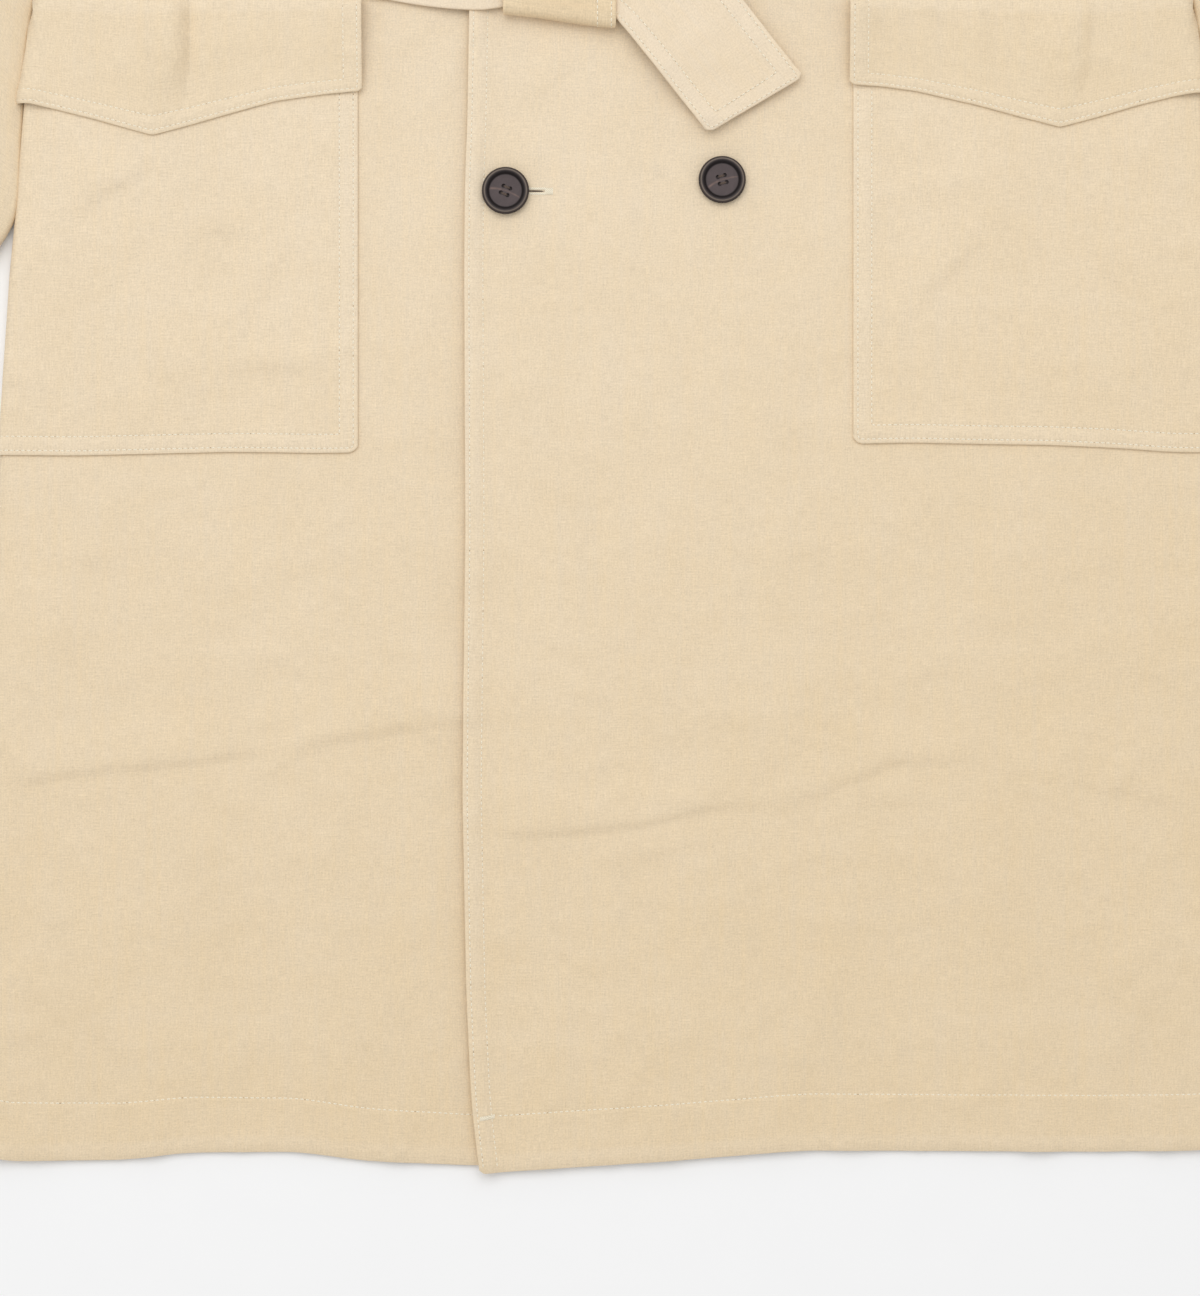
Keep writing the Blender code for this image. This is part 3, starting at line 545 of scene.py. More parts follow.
def cotton_group():
    """Woven cotton: its colour, its relief and its roughness, from the weave's map, the nearest edge and a
    painted falloff shade.
    """
    group = bpy.data.node_groups.new("woven_cotton", "ShaderNodeTree")
    sockets = (("Weave", "INPUT", "Vector"), ("Edge", "INPUT", "Float"), ("Low", "INPUT", "Float"),
               ("Colour", "INPUT", "Color"), ("WarmAndShade", "INPUT", "Color"), ("Slub", "INPUT", "Float"),
               ("Colour", "OUTPUT", "Color"), ("Relief", "OUTPUT", "Float"), ("Roughness", "OUTPUT", "Float"))
    for name, way, kind in sockets:
        group.interface.new_socket(name, in_out=way, socket_type="NodeSocket" + kind)
    given = group.nodes.new("NodeGroupInput").outputs
    put = group.nodes.new("NodeGroupOutput").inputs

    def cloth_noise(width, length, seed, detail=2.0):
        sizes = (1 / (width * MM), 1 / (length * MM), 1.0)
        place = add_node(group, "Mapping",
                         {"Vector": given["Weave"], "Location": (seed, -seed, seed), "Scale": sizes})
        made = add_node(group, "TexNoise", {"Vector": place.outputs[0], "Scale": 1.0, "Detail": detail})
        return maths(group, "SUBTRACT", made.outputs[0], 0.5)

    def threads(direction):
        scale = 1 / (WAVE_PER_SCALE * THREADS_EVERY * MM)
        wave = add_node(group, "TexWave", {"Vector": given["Weave"], "Scale": scale, "Distortion": 0.6},
                        bands_direction=direction)
        return wave.outputs[1]

    warp = cloth_noise(SLUB_WIDTH, SLUB_LENGTH, 3.0)
    weft = cloth_noise(SLUB_LENGTH, SLUB_WIDTH, 7.0)
    parts = {
        "grain": cloth_noise(GRAIN_SIZE, GRAIN_SIZE, 11.0, 3.0),
        "streaks": cloth_noise(STREAK_WIDTH, STREAK_LENGTH, 29.0),
        "mottle": cloth_noise(MOTTLE_SIZE, MOTTLE_SIZE, 17.0, 4.0),
        "patches": cloth_noise(PATCH_LENGTH, PATCH_WIDTH, 31.0, 3.0),
    }
    pucker = cloth_noise(PUCKER_SIZE, PUCKER_SIZE, 23.0)
    parts["crumple"] = maths(group, "ABSOLUTE", cloth_noise(CRUMPLE_SIZE / 2, CRUMPLE_SIZE / 2, 37.0))
    parts["slubs"] = maths(group, "MULTIPLY", maths(group, "ADD", warp, weft), given["Slub"])
    tone = add_up(group, 1.0, parts, TONE)
    edge_share = maths(group, "DIVIDE", given["Edge"], WORN_EDGE)
    parts["worn"] = maths(group, "SUBTRACT", 1.0, edge_share, clamp=True)
    band = maths(group, "SUBTRACT", 1.0, maths(group, "DIVIDE", given["Edge"], PUCKER_BAND), clamp=True)
    parts["band"] = maths(group, "MULTIPLY", band, PUCKER_BAND_ENDS, clamp=True)
    tone = add_up(group, tone, parts, EDGE_TONE)
    with_falloff_shade = maths(group, "MULTIPLY_ADD", given["Low"], FALLOFF_SHADE_SHARE, WARMTH)
    warmth_and_falloff_shade = add_up(group, with_falloff_shade, parts, WARMTH_PARTS, clamp=True)
    base = add_node(group, "Mix", {0: warmth_and_falloff_shade, 6: given["Colour"], 7: given["WarmAndShade"]}, data_type="RGBA")
    colour = add_node(group, "VectorMath", {0: base.outputs[2], "Scale": tone}, operation="SCALE")
    group.links.new(colour.outputs[0], put["Colour"])

    weave = maths(group, "MULTIPLY", threads("X"), threads("Y"))
    relief = add_up(group, weave, parts, RELIEF_PARTS)
    puckered = maths(group, "MULTIPLY", parts["band"], pucker)
    group.links.new(maths(group, "MULTIPLY_ADD", puckered, PUCKER_RELIEF, relief), put["Relief"])
    roughness = maths(group, "MULTIPLY_ADD", parts["grain"], GRAIN_ROUGHNESS, ROUGHNESS)
    group.links.new(roughness, put["Roughness"])
    return group


COTTON_GROUP = cotton_group()


def add_cotton(name, colour, warm_and_shade, slub=1.0):
    """A piece's cotton, in its own two tints, with painted shade that makes it darker and warmer towards the
    hem and the wearer's left.
    """
    made, tree, shader = add_material(name)
    weave = add_node(tree, "UVMap", uv_map="weave")
    edge = add_node(tree, "Attribute", attribute_name="edge")
    place = add_node(tree, "SeparateXYZ", (add_node(tree, "TexCoord").outputs["Object"],))
    # The painted falloff shade: a share that grows towards the hem and the wearer's left
    to_left = maths(tree, "MULTIPLY", maths(tree, "MAXIMUM", place.outputs["X"], 0.0), FALLOFF_SHADE_TO_LEFT)
    low = maths(tree, "MULTIPLY_ADD", place.outputs["Y"], FALLOFF_SHADE_DOWN, to_left, clamp=True)
    inputs = {"Weave": weave.outputs[0], "Edge": edge.outputs["Fac"], "Low": low, "Colour": colour,
              "WarmAndShade": warm_and_shade, "Slub": slub}
    cotton = add_node(tree, "Group", inputs, node_tree=COTTON_GROUP)
    bump = add_node(tree, "Bump", {"Height": cotton.outputs["Relief"], "Strength": 0.5, "Distance": 0.12 * MM})
    tree.links.new(bump.outputs[0], shader.inputs["Normal"])
    tree.links.new(cotton.outputs["Colour"], shader.inputs["Base Color"])
    tree.links.new(cotton.outputs["Roughness"], shader.inputs["Roughness"])
    shader.inputs["Specular IOR Level"].default_value = 0.2
    shader.inputs["Sheen Weight"].default_value = 0.12
    shader.inputs["Sheen Roughness"].default_value = 0.5
    return made


def add_thread(name, colour):
    """Sewing thread: a colour, with the twist of its plies as bands."""
    made, tree, shader = add_material(name)
    place = add_node(tree, "TexCoord").outputs["Object"]
    scale = 1 / (WAVE_PER_SCALE * TWIST_EVERY * MM)
    twist = add_node(tree, "TexWave", {"Vector": place, "Scale": scale, "Distortion": 1.0},
                     bands_direction="DIAGONAL")
    deep = tuple(part * TWIST_SHADE for part in colour[:3]) + (1.0,)
    shade = add_node(tree, "Mix", {0: twist.outputs[1], 6: deep, 7: colour}, data_type="RGBA")
    tree.links.new(shade.outputs[2], shader.inputs["Base Color"])
    bump = add_node(tree, "Bump", {"Height": twist.outputs[1], "Strength": 0.4, "Distance": 0.05 * MM})
    tree.links.new(bump.outputs[0], shader.inputs["Normal"])
    shader.inputs["Roughness"].default_value = 0.6
    shader.inputs["Sheen Weight"].default_value = 0.2
    return made


coat_cotton = add_cotton("coat_cotton", COTTON, COTTON_WARM_AND_SHADE)
cream_thread = add_thread("cream_thread", THREAD)
needle_hole_shade = add_thread("needle_hole_shade", NEEDLE_HOLE_SHADE)


# ---- Back ----
# The back panel lies on the floor with its outer face down. Its sides end at the side seams, tucked in from
# the coat's folded sides, and its top follows the shoulders and the back of the neck.

RIM_LINES = (0.0, 0.3, 0.9)
SEWN_LINES = (1.8, 2.4, 3.1, 4.6, 6.6, 8.8, 9.6, 10.4, 12.2, 15.0)
SEWN_ROWS = (2.4, 9.6)
WELT = 0.5
WELT_RISES, WELT_ENDS = (-0.4, 2.0), 14.0
ROW_SINKS = 0.45
ROW_SINKS_WITHIN = 1.3
LEAST_RIM = 0.3

BACK_COLUMNS = 86
HEM_DEPTH = {-1: (26.5, 31.0), 1: (29.5, 29.3)}
HEM_FOLD = 0.3
HEM_FOLD_FALLS = (-0.5, 1.5)
HEM_LEVELS = [25.0, 26.2, 27.2, 28.2, 29.0, 29.8, 30.6, 31.4, 32.4, 34.0]
HEM_RELIEF_ENDS = 36.0
LEVEL_STEP, FINE_STEP, CREASED_STEP = 5.2, 3.1, 2.2
CREASED_FROM, CREASED_TO, FINE_TO = 164.0, 240.0, 606.0
STITCH_EVERY, STITCH_LENGTH = 2.9, 2.15
STITCH_WIDTH, STITCH_HEIGHT = 0.84, 0.7
FIRST_STITCH = 0.2
ROW_SAMPLES_EVERY, NORMAL_REACH = 0.9, 0.4
# Size of each spindle of painted needle-hole shade, and how far it reaches back over its stitch's end
NEEDLE_WIDTH, NEEDLE_LENGTH, NEEDLE_HEIGHT, NEEDLE_IN_STITCH = 0.62, 0.9, 0.2, 0.08


def spaced(start, end, step_length):
    """Even places after start, up to but not at end, no further apart than step_length."""
    count = max(1, round((end - start) / step_length))
    return [start + (end - start) * number / count for number in range(1, count)]


def panel_levels(top, fine_step, creased_step):
    """The grid's levels up a whole panel: closer at the hem, its stitching and the two long creases."""
    rim = RIM_LINES[-1]
    stops = [rim, HEM_LEVELS[0], HEM_LEVELS[-1], CREASED_FROM, CREASED_TO, FINE_TO, top - rim]
    steps = [LEVEL_STEP, None, fine_step, creased_step, fine_step, LEVEL_STEP]
    levels = list(RIM_LINES)
    for low, high, step_length in zip(stops, stops[1:], steps):
        levels += HEM_LEVELS[1:-1] if step_length is None else spaced(low, high, step_length)
        levels.append(high)
    return levels + [top - line for line in reversed(RIM_LINES[:-1])]


def sewn(distance):
    """How far the turned-in edge and its two rows of topstitching raise and sink the cloth."""
    if distance > WELT_ENDS:
        return 0.0
    height = WELT * fade(distance, SEWN_ROWS[-1], WELT_ENDS) * smooth(ramp(distance, *WELT_RISES))
    return height - sum(row_sink(distance - row) for row in SEWN_ROWS)


def row_sink(distance):
    return ROW_SINKS * smooth(1 - min(1.0, abs(distance) / ROW_SINKS_WITHIN))


def hem_row(side, x):
    """The level of the hem's row of stitches."""
    inner, outer = HEM_DEPTH[side]
    depth = mix(inner, outer, ramp(abs(x), OVERLAP, half_width(0)))
    return depth / (1 - hem_rise(side, x, 0) / HEM_RISE_FADES)


def hem_relief(side, x, up):
    """The hem is turned up inside, so it is thicker below its row of stitches, which sinks in."""
    if up > HEM_RELIEF_ENDS:
        return 0.0
    row = hem_row(side, x)
    return HEM_FOLD * (1 - ramp(up, row + HEM_FOLD_FALLS[0], row + HEM_FOLD_FALLS[1])) - row_sink(up - row)


def cloth(name, levels, lines, surface, finish, thickness=CLOTH, ring=False, even=True):
    """One piece of cloth: a grid whose middle surface(a, b) gives, as x, up and z, with a round edge.

    levels are the grid's places along the piece, and lines(b) its places across it at one of them. Both are
    distances along the cloth, and the weave's map is drawn in them. A ring's two sides are joined.
    """
    stations = [lines(level) for level in levels]
    columns, rows = len(stations[0]), len(levels)
    bm = bmesh.new()
    bmesh.ops.create_grid(bm, x_segments=columns - 1, y_segments=rows - 1, size=1)
    weave = bm.loops.layers.uv.new("weave")
    edge = bm.verts.layers.float.new("edge")
    deform = bm.verts.layers.deform.verify()
    places = {}
    for vert in bm.verts:
        column = round((vert.co.x + 1) / 2 * (columns - 1))
        row = round((vert.co.y + 1) / 2 * (rows - 1))
        line, b = stations[row], levels[row]
        a = line[column]
        vert.co = in_frame(*surface(a, b))
        places[vert] = (a * MM, b * MM)
        nearest = min(b - levels[0], levels[-1] - b)
        if not ring:
            nearest = min(nearest, a - line[0], line[-1] - a)
        vert[edge] = nearest
        vert[deform][0] = max(LEAST_RIM, sqrt(1 - (1 - min(1.0, nearest / RIM_LINES[-1])) ** 2))
    for face in bm.faces:
        for loop in face.loops:
            loop[weave].uv = places[loop.vert]
    if ring:
        bmesh.ops.remove_doubles(bm, verts=bm.verts[:], dist=1e-6)
    made = add_mesh(name, bm, finish)
    made.vertex_groups.new(name="wall")
    solid = made.modifiers.new("thickness", "SOLIDIFY")
    solid.thickness = thickness * MM
    solid.offset = 0.0
    solid.use_even_offset = even
    solid.vertex_group = "wall"
    widths = [line[-1] - line[0] for line in stations]
    area = sum((low + high) / 2 * (upper - lower)
               for low, high, lower, upper in zip(widths, widths[1:], levels, levels[1:]))
    made["cut"] = (max(widths) * MM, (levels[-1] - levels[0]) * MM, area * MM * MM)
    return made


def lay(piece, node):
    """The piece takes its node's place: it hangs from the root, and the node's own part is hidden."""
    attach(piece, "root")
    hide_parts(node)


stitch_shape = bpy.data.meshes.new("stitch_shape")
bm = bmesh.new()
bmesh.ops.create_uvsphere(bm, u_segments=6, v_segments=4, radius=MM / 2)
bm.to_mesh(stitch_shape)
bm.free()


def add_stitch(bm, start, end, normal, width=STITCH_WIDTH, height=STITCH_HEIGHT, slot=0):
    """One stitch, as a small spindle from start to end, in one of its mesh's two finishes."""
    along = (end - start).normalized()
    aside = normal.cross(along).normalized()
    turn = Matrix((aside, along.cross(aside), along)).transposed().to_4x4()
    sizes = Matrix.Diagonal((width, height, (end - start).length / MM, 1.0))
    one = stitch_shape.copy()
    one.transform(Matrix.Translation((start + end) / 2) @ turn @ sizes)
    one.polygons.foreach_set("material_index", [slot] * len(one.polygons))
    bm.from_mesh(one)
    bpy.data.meshes.remove(one)


def sew(name, rows, hole_shade_finish=needle_hole_shade):
    """Rows of stitches in one mesh. Each row is a surface(a, b, raised), its places, and which way is out."""
    bm = bmesh.new()
    for surface, places, outwards, raised in rows:
        points = []
        for (a1, b1), (a2, b2) in zip(places, places[1:]):
            count = max(1, round(hypot(a2 - a1, b2 - b1) / ROW_SAMPLES_EVERY))
            points += [(a1 + (a2 - a1) * n / count, b1 + (b2 - b1) * n / count) for n in range(count)]
        points.append(places[-1])

        def at(a, b):
            return in_frame(*surface(a, b, raised))

        spots = [at(a, b) for a, b in points]
        run, starts = 0.0, [0.0]
        for first, second in zip(spots, spots[1:]):
            run += (second - first).length
            starts.append(run)
        place = 0

        def on_row(distance):
            nonlocal place
            while place < len(starts) - 2 and starts[place + 1] < distance:
                place += 1
            share = (distance - starts[place]) / max(1e-9, starts[place + 1] - starts[place])
            return spots[place].lerp(spots[place + 1], share), points[place]

        for number in range(int(run / (STITCH_EVERY * MM))):
            start_at = number * STITCH_EVERY + FIRST_STITCH
            hole_at = start_at + STITCH_LENGTH - NEEDLE_IN_STITCH
            start, (a, b) = on_row(start_at * MM)
            end, _ = on_row((start_at + STITCH_LENGTH) * MM)
            hole, _ = on_row(hole_at * MM)
            hole_end, _ = on_row((hole_at + NEEDLE_LENGTH) * MM)
            along_a = at(a + NORMAL_REACH, b) - at(a - NORMAL_REACH, b)
            along_b = at(a, b + NORMAL_REACH) - at(a, b - NORMAL_REACH)
            normal = along_a.cross(along_b).normalized() * outwards
            add_stitch(bm, start, end, normal)
            # A small dark spindle at the needle hole: painted shade in the pit where the thread goes in
            add_stitch(bm, hole, hole_end, normal, NEEDLE_WIDTH, NEEDLE_HEIGHT, slot=1)
    made = add_mesh(name, bm, cream_thread)
    made.data.materials.append(hole_shade_finish)
    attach(made, "root")
    return made


def back_edge(up):
    """Where the back ends: at the side seam beneath the coat, and above the armpit at the armhole."""
    seam = fold_start(up) - tuck(up) - GAP
    widened = half_width(up) - CLOTH / 2
    return mix(seam, widened, ramp(up, FOLD_OPEN_UP, BACK_WIDENS_UP))


def back_lines(up):
    edge = back_edge(up)
    inner = edge - RIM_LINES[-1]
    lines = [inner * (2 * number / BACK_COLUMNS - 1) for number in range(BACK_COLUMNS + 1)]
    return [-edge, -edge + RIM_LINES[1]] + lines + [edge - RIM_LINES[1], edge]


def back_surface(x, level):
    top = shoulder_up(x)
    if abs(x) < NECK_HALF:
        top = BACK_NECK_UP + (SHOULDER_NECK_UP - BACK_NECK_UP) * (x / NECK_HALF) ** 2
    rise = max(hem_rise(-1, x, level), hem_rise(1, x, level))
    shorter = BACK_HEM_SHORTER * (1 - ramp(level, 0, HEM_RISE_FADES))
    uneven = unevenness(x, level) * CREASE_SHARE_BENEATH
    return x, to_top(level, top) + rise + shorter, CLOTH / 2 + lift(x, level) + uneven


back_levels = panel_levels(SHOULDER_NECK_UP, LEVEL_STEP, LEVEL_STEP)
back = cloth("back_cloth", back_levels, back_lines, back_surface, coat_cotton)
lay(back, "back")


# ---- Fronts ----
# Each front is one panel, from its free edge round the side fold to the side seam beneath. The wearer's left
# front lies on the right one. Free edges have two rows of topstitching, and the hem has one and a bar tack.

FRONT_COLUMNS = 106
FOLD_STEPS = 8
TUCK_SHARES = (0.1, 0.2, 0.3, 0.4, 0.5, 0.6, 0.7, 0.8, 0.9, 0.98, 0.993, 1.0)
HEM_CORNER = 3.5
EDGE_CURL = 2.8
EDGE_CURLS_WITHIN = 13.0
HEM_DROOPS, HEM_DROOPS_WITHIN = 0.9, 2.4
EDGE_ROWS_BETWEEN, EDGE_ROW_STEP = (3.0, BREAK_UP - 4), 12.0
HEM_ROW_UP, HEM_ROW_STEP, HEM_ROW_SHORT = 30, 8.0, 1
HEM_ROW_STARTS_RIGHT = OVERLAP - 20


def wrapped_lines(edge, start, columns, bend, beneath, shares):
    """Where grid lines cross a piece: from its sewn edge to the side fold, round it, and on beneath."""
    first = edge + SEWN_LINES[-1]
    lines = [edge + line for line in RIM_LINES + SEWN_LINES]
    lines += spaced(first, start, (start - first) / columns)
    lines += [start + bend * number / FOLD_STEPS for number in range(FOLD_STEPS + 1)]
    return lines + [start + bend + beneath * share for share in shares]


def front_lines(side, up):
    turned = FOLD_RADIUS * fold_turn(up)
    bend = max(turned, tuck(up) / 2)
    rest = turned + tuck(up) - bend
    return wrapped_lines(inner_edge(side, up), fold_start(up), FRONT_COLUMNS, bend, rest, TUCK_SHARES)


def rounding(distance, radius):
    """How far a round corner stands in from a square one, at a distance from the side."""
    if distance >= radius:
        return 0.0
    return radius - sqrt(radius**2 - (radius - max(0.0, distance)) ** 2)


def front_relief(side, across, up):
    """What its sewn edge and its hem add to a front, and how they curl and droop."""
    relief = hem_relief(side, side * across, up)
    if up < BREAK_UP:
        in_from_edge = across - inner_edge(side, up)
        shown = 1 - ramp(up, BREAK_UP - ROLL_LINE_STARTS, BREAK_UP)
        relief += sewn(in_from_edge) * shown
        if side > 0:
            relief += EDGE_CURL * fade(in_from_edge, 0, EDGE_CURLS_WITHIN) * shown
    if across < half_width(up) - LIFT_FULL / 2:
        relief -= HEM_DROOPS * fade(up, 0, HEM_DROOPS_WITHIN)
    return relief


def front_surface(side, across, up, raised=0.0):
    x, z = skin(side, across, up, raised + front_relief(side, across, up))
    corner = rounding(across - inner_edge(side, up), HEM_CORNER) * (1 - ramp(up, 0, 2 * HEM_CORNER))
    return x, to_top(up, shoulder_up(x)) + hem_rise(side, x, up) + corner, z


def front_rows(side):
    """A front's rows of stitches: along its free edge, and along the hem to the side seam."""
    lines = []
    if side > 0:
        low, high = EDGE_ROWS_BETWEEN
        levels = [low] + spaced(low, high, EDGE_ROW_STEP) + [high]
        lines = [[(inner_edge(side, up) + row, up) for up in levels] for row in SEWN_ROWS]
    first = inner_edge(side, 0) + SEWN_ROWS[-1] if side > 0 else HEM_ROW_STARTS_RIGHT
    end = fold_start(HEM_ROW_UP) + pi * FOLD_RADIUS + tuck(HEM_ROW_UP) - HEM_ROW_SHORT
    places = [first] + spaced(first, end, HEM_ROW_STEP) + [end]
    lines.append([(a, hem_row(side, side * min(a, half_width(HEM_ROW_UP)))) for a in places])
    return [(partial(front_surface, side), line, side, CLOTH / 2) for line in lines]


front_levels = panel_levels(SHOULDER_NECK_UP, FINE_STEP, CREASED_STEP)
SIDES = (("right", -1), ("left", 1))
for word, side in SIDES:
    front = cloth(f"front_{word}_cloth", front_levels, partial(front_lines, side), partial(front_surface, side),
                  coat_cotton)
    lay(front, f"front_{word}")
    sew(f"front_{word}_stitches", front_rows(side))


# ---- Pockets and flaps ----
# A patch pocket lies on each front and goes round the side fold with it. A pointed flap hangs over its mouth
# and goes round too. Both have their edges turned in and held by two rows of topstitching.

PocketPlace = namedtuple("PocketPlace", "inner bottom flap_inner tip lower")
POCKETS = {
    -1: PocketPlace(
        132.8,
        [Row(133, 370.6), Row(150, 370.2), Row(199, 370.8), Row(239, 369.8), Row(279, 368.7), Row(350, 369.2)],
        130.5, 239.2,
        [Row(130.7, 558.3), Row(149.8, 556.7), Row(175.5, 553.1), Row(199.2, 546.5), Row(219.4, 540.5),
         Row(239.2, 535.1), Row(251.2, 538.2), Row(268.8, 543.1), Row(289, 548), Row(307.3, 552),
         Row(348, 558.1)],
    ),
    1: PocketPlace(
        125.0,
        [Row(125, 375.0), Row(154, 375.7), Row(190, 374.9), Row(226, 374.4), Row(261, 372.8), Row(292, 370.4)],
        122.9, 232.2,
        [Row(123.2, 561.8), Row(140, 560.6), Row(158.4, 558.1), Row(172.1, 555), Row(192.4, 550.2),
         Row(212.2, 544.6), Row(232.2, 539.3), Row(251.7, 544.4), Row(272, 550.2), Row(291.7, 555),
         Row(342, 562)],
    ),
}
POCKET_TOP_UP, POCKET_HEIGHT, POCKET_UNDER, POCKET_CORNER = 578.0, 206.0, 37.0, 5.0
POCKET_SEWN_FADES = 8
POCKET_COLUMNS = 56
UNDER_SHARES = (0.14, 0.28, 0.42, 0.56, 0.7, 0.84, 0.975, 0.992, 1.0)
FLAP_TOP_UP, FLAP_HEIGHT, FLAP_UNDER, FLAP_CORNER = 606.6, 71.0, 41.0, 3.0
FLAP_HELD = (FLAP_TOP_UP - 5, FLAP_TOP_UP + 1)
FLAP_SIDE_CURL, FLAP_SIDE_CURLS_WITHIN, FLAP_SIDE_CURL_REACH, FLAP_CURLS_ROUND = 2.4, 44.0, 14, 0.6
FLAP_INNER_CURL, FLAP_INNER_CURLS_WITHIN, FLAP_INNER_CURL_FROM = 6.0, 24.0, 545.0
POCKET_ROW_STEP, FLAP_ROW_STEP, ROW_SHORT = 6.0, 3.0, 2
# Upright folds where the belt has gathered the flaps. A flap has extra grid lines at the foot of its deepest.
FLAP_FOLDS = boxed([
    Crease(7.0, 10, 28, ((-230, 660), (-230, 606), (-230, 575), (-233, 541))),
    Crease(1.2, 18, 6, ((-214, 660), (-214, 606), (-213, 575), (-210, 541))),
    Crease(3.0, 10, 24, ((240, 660), (239, 606), (238, 575), (230, 540))),
    Crease(1.9, 7, 16, ((187, 660), (188, 606), (190, 575), (194, 552))),
])
FLAP_FOLD_LINES = {
    -1: (218.5, 220, 221.5, 223, 224.5, 226, 227.5, 229, 230.5),
    1: (237, 239, 241, 243, 245, 247, 249),
}
LINES_APART = 0.5
TIP_SOFTENING = 1.2

pocket_cotton = add_cotton("pocket_cotton", COTTON, COTTON_WARM_AND_SHADE, slub=1.15)
flap_cotton = add_cotton("flap_cotton", tint(232, 214, 186), tint(224, 201, 163), slub=1.15)


def pocket_lines(inner, up, under):
    turned = FOLD_RADIUS * fold_turn(up)
    return wrapped_lines(inner, fold_start(up), POCKET_COLUMNS, turned, under, UNDER_SHARES)


def pocket_surface(side, across, b, raised=0.0):
    place = POCKETS[side]
    bottom = soft(place.bottom, across)
    up = bottom + b * (POCKET_TOP_UP - bottom) / POCKET_HEIGHT
    up += rounding(across - place.inner, POCKET_CORNER) * (1 - ramp(b, 0, 2 * POCKET_CORNER))
    shown = 1 - ramp(up, place.lower[0].value - POCKET_SEWN_FADES, place.lower[0].value)
    relief = sewn(min(across - place.inner, b)) * shown
    x, z = skin(side, across, up, LAYER + relief + raised)
    return x, up, z


def flap_surface(side, across, b, raised=0.0):
    place = POCKETS[side]
    lower = sum(read(place.lower, across + TIP_SOFTENING * part) for part in (-1, 0, 1)) / 3
    up = lower + b * (FLAP_TOP_UP - lower) / FLAP_HEIGHT
    up += rounding(across - place.flap_inner, FLAP_CORNER) * (1 - ramp(b, 0, 2 * FLAP_CORNER))
    start, turned = fold_start(up), pi * FOLD_RADIUS
    curl = FLAP_SIDE_CURL * fade(b, 0, FLAP_SIDE_CURLS_WITHIN)
    curl *= smooth(ramp(across, start - FLAP_SIDE_CURL_REACH, start))
    curl *= 1 - ramp(across, start + turned * FLAP_CURLS_ROUND, start + turned)
    free = fade(up, *FLAP_HELD)
    inner_curl = FLAP_INNER_CURL * free * smooth(ramp(up, FLAP_INNER_CURL_FROM, FLAP_TOP_UP))
    curl += inner_curl * fade(across - place.flap_inner, 0, FLAP_INNER_CURLS_WITHIN)
    relief = sewn(min(across - place.flap_inner, b))
    curl += creases_at(FLAP_FOLDS, side * across, up) * free
    x, z = skin(side, across, up, 2 * LAYER + curl + relief + raised)
    return x, up, z


def flap_lines(side):
    """The lines across a flap, with those at its folds and at its tip in place of any close to them."""
    place = POCKETS[side]
    lines = pocket_lines(place.flap_inner, place.lower[0].value, FLAP_UNDER)
    extra = FLAP_FOLD_LINES[side] + (place.tip,)
    kept = [line for line in lines if min(abs(line - other) for other in extra) > LINES_APART]
    return sorted(kept + list(extra))


def edge_rows(surface, inner, high, end, side, step_length):
    """Two rows of stitches down an inner edge and on along the lower one."""
    rows = []
    for row in SEWN_ROWS:
        first = inner + row
        places = [(first, high), (first, row)]
        places += [(a, row) for a in spaced(first, end, step_length) + [end]]
        rows.append((surface, places, side, CLOTH / 2))
    return rows


def pocket_rows(side):
    place = POCKETS[side]
    shown = place.lower[0].value - place.bottom[0].value
    fold = fold_start(place.lower[0].value) + pi * FOLD_RADIUS
    pocket_end, flap_end = (fold + under - ROW_SHORT for under in (POCKET_UNDER, FLAP_UNDER))
    rows = edge_rows(partial(pocket_surface, side), place.inner, shown, pocket_end, side, POCKET_ROW_STEP)
    return rows + edge_rows(partial(flap_surface, side), place.flap_inner, FLAP_HEIGHT - 1, flap_end, side,
                            FLAP_ROW_STEP)


pocket_levels, flap_levels = (
    list(RIM_LINES + SEWN_LINES) + spaced(SEWN_LINES[-1], height, FINE_STEP) + [height]
    for height in (POCKET_HEIGHT, FLAP_HEIGHT)
)
for word, side in SIDES:
    place = POCKETS[side]
    pocket = cloth(
        f"pocket_{word}_cloth", pocket_levels,
        lambda b: pocket_lines(place.inner, place.bottom[0].value + b, POCKET_UNDER),
        partial(pocket_surface, side), pocket_cotton,
    )
    lay(pocket, f"pocket_{word}")
    flap = cloth(f"pocket_flap_{word}_cloth", flap_levels, lambda b: flap_lines(side),
                 partial(flap_surface, side), flap_cotton)
    lay(flap, f"pocket_flap_{word}")
    sew(f"pocket_{word}_stitches", pocket_rows(side))


# ---- Lapels ----
# Each front's top is turned back over it as a lapel, with a soft roll along the roll line. The wearer's left
# one shows whole, and the right one only where the left front doesn't cover it.

# By the height on the roll line: where the lapel's outer edge is
LAPEL_ACROSS = {
    1: [Row(888, -68), Row(920, -8), Row(955, 42), Row(990, 92), Row(1015, 134), Row(1044, 96)],
    -1: [Row(952, 32), Row(968, 62), Row(986, 94), Row(1015, 134), Row(1044, 96)],
}
LAPEL_UP = {
    1: [Row(888, 889), Row(920, 926), Row(955, 956), Row(990, 985), Row(1015, 1010), Row(1044, 1033)],
    -1: [Row(952, 953), Row(968, 970), Row(986, 986), Row(1015, 1010), Row(1044, 1033)],
}
LAPEL_SPRING = 0.5
LAPEL_CLEARANCE = 1.2
LAPEL_COLUMNS, LAPEL_STEP, LAPEL_SEWN_SHARE = 24, 4.0, 0.6
LAPEL_BILLOW, LAPEL_BILLOWS_FROM = 1.1, 60
LAPEL_PEAK_UP = 1015.0
LAPEL_STITCHES_RAISED = CLOTH / 2 + 0.15
ROLL_RADIUS = (LAYER + LAPEL_SPRING) / 2
ROLL_TURNS = (0.9, 0.75, 0.6, 0.45, 0.3, 0.15)
RIGHT_ROLL_SHOWS = (984.0, 996.0)


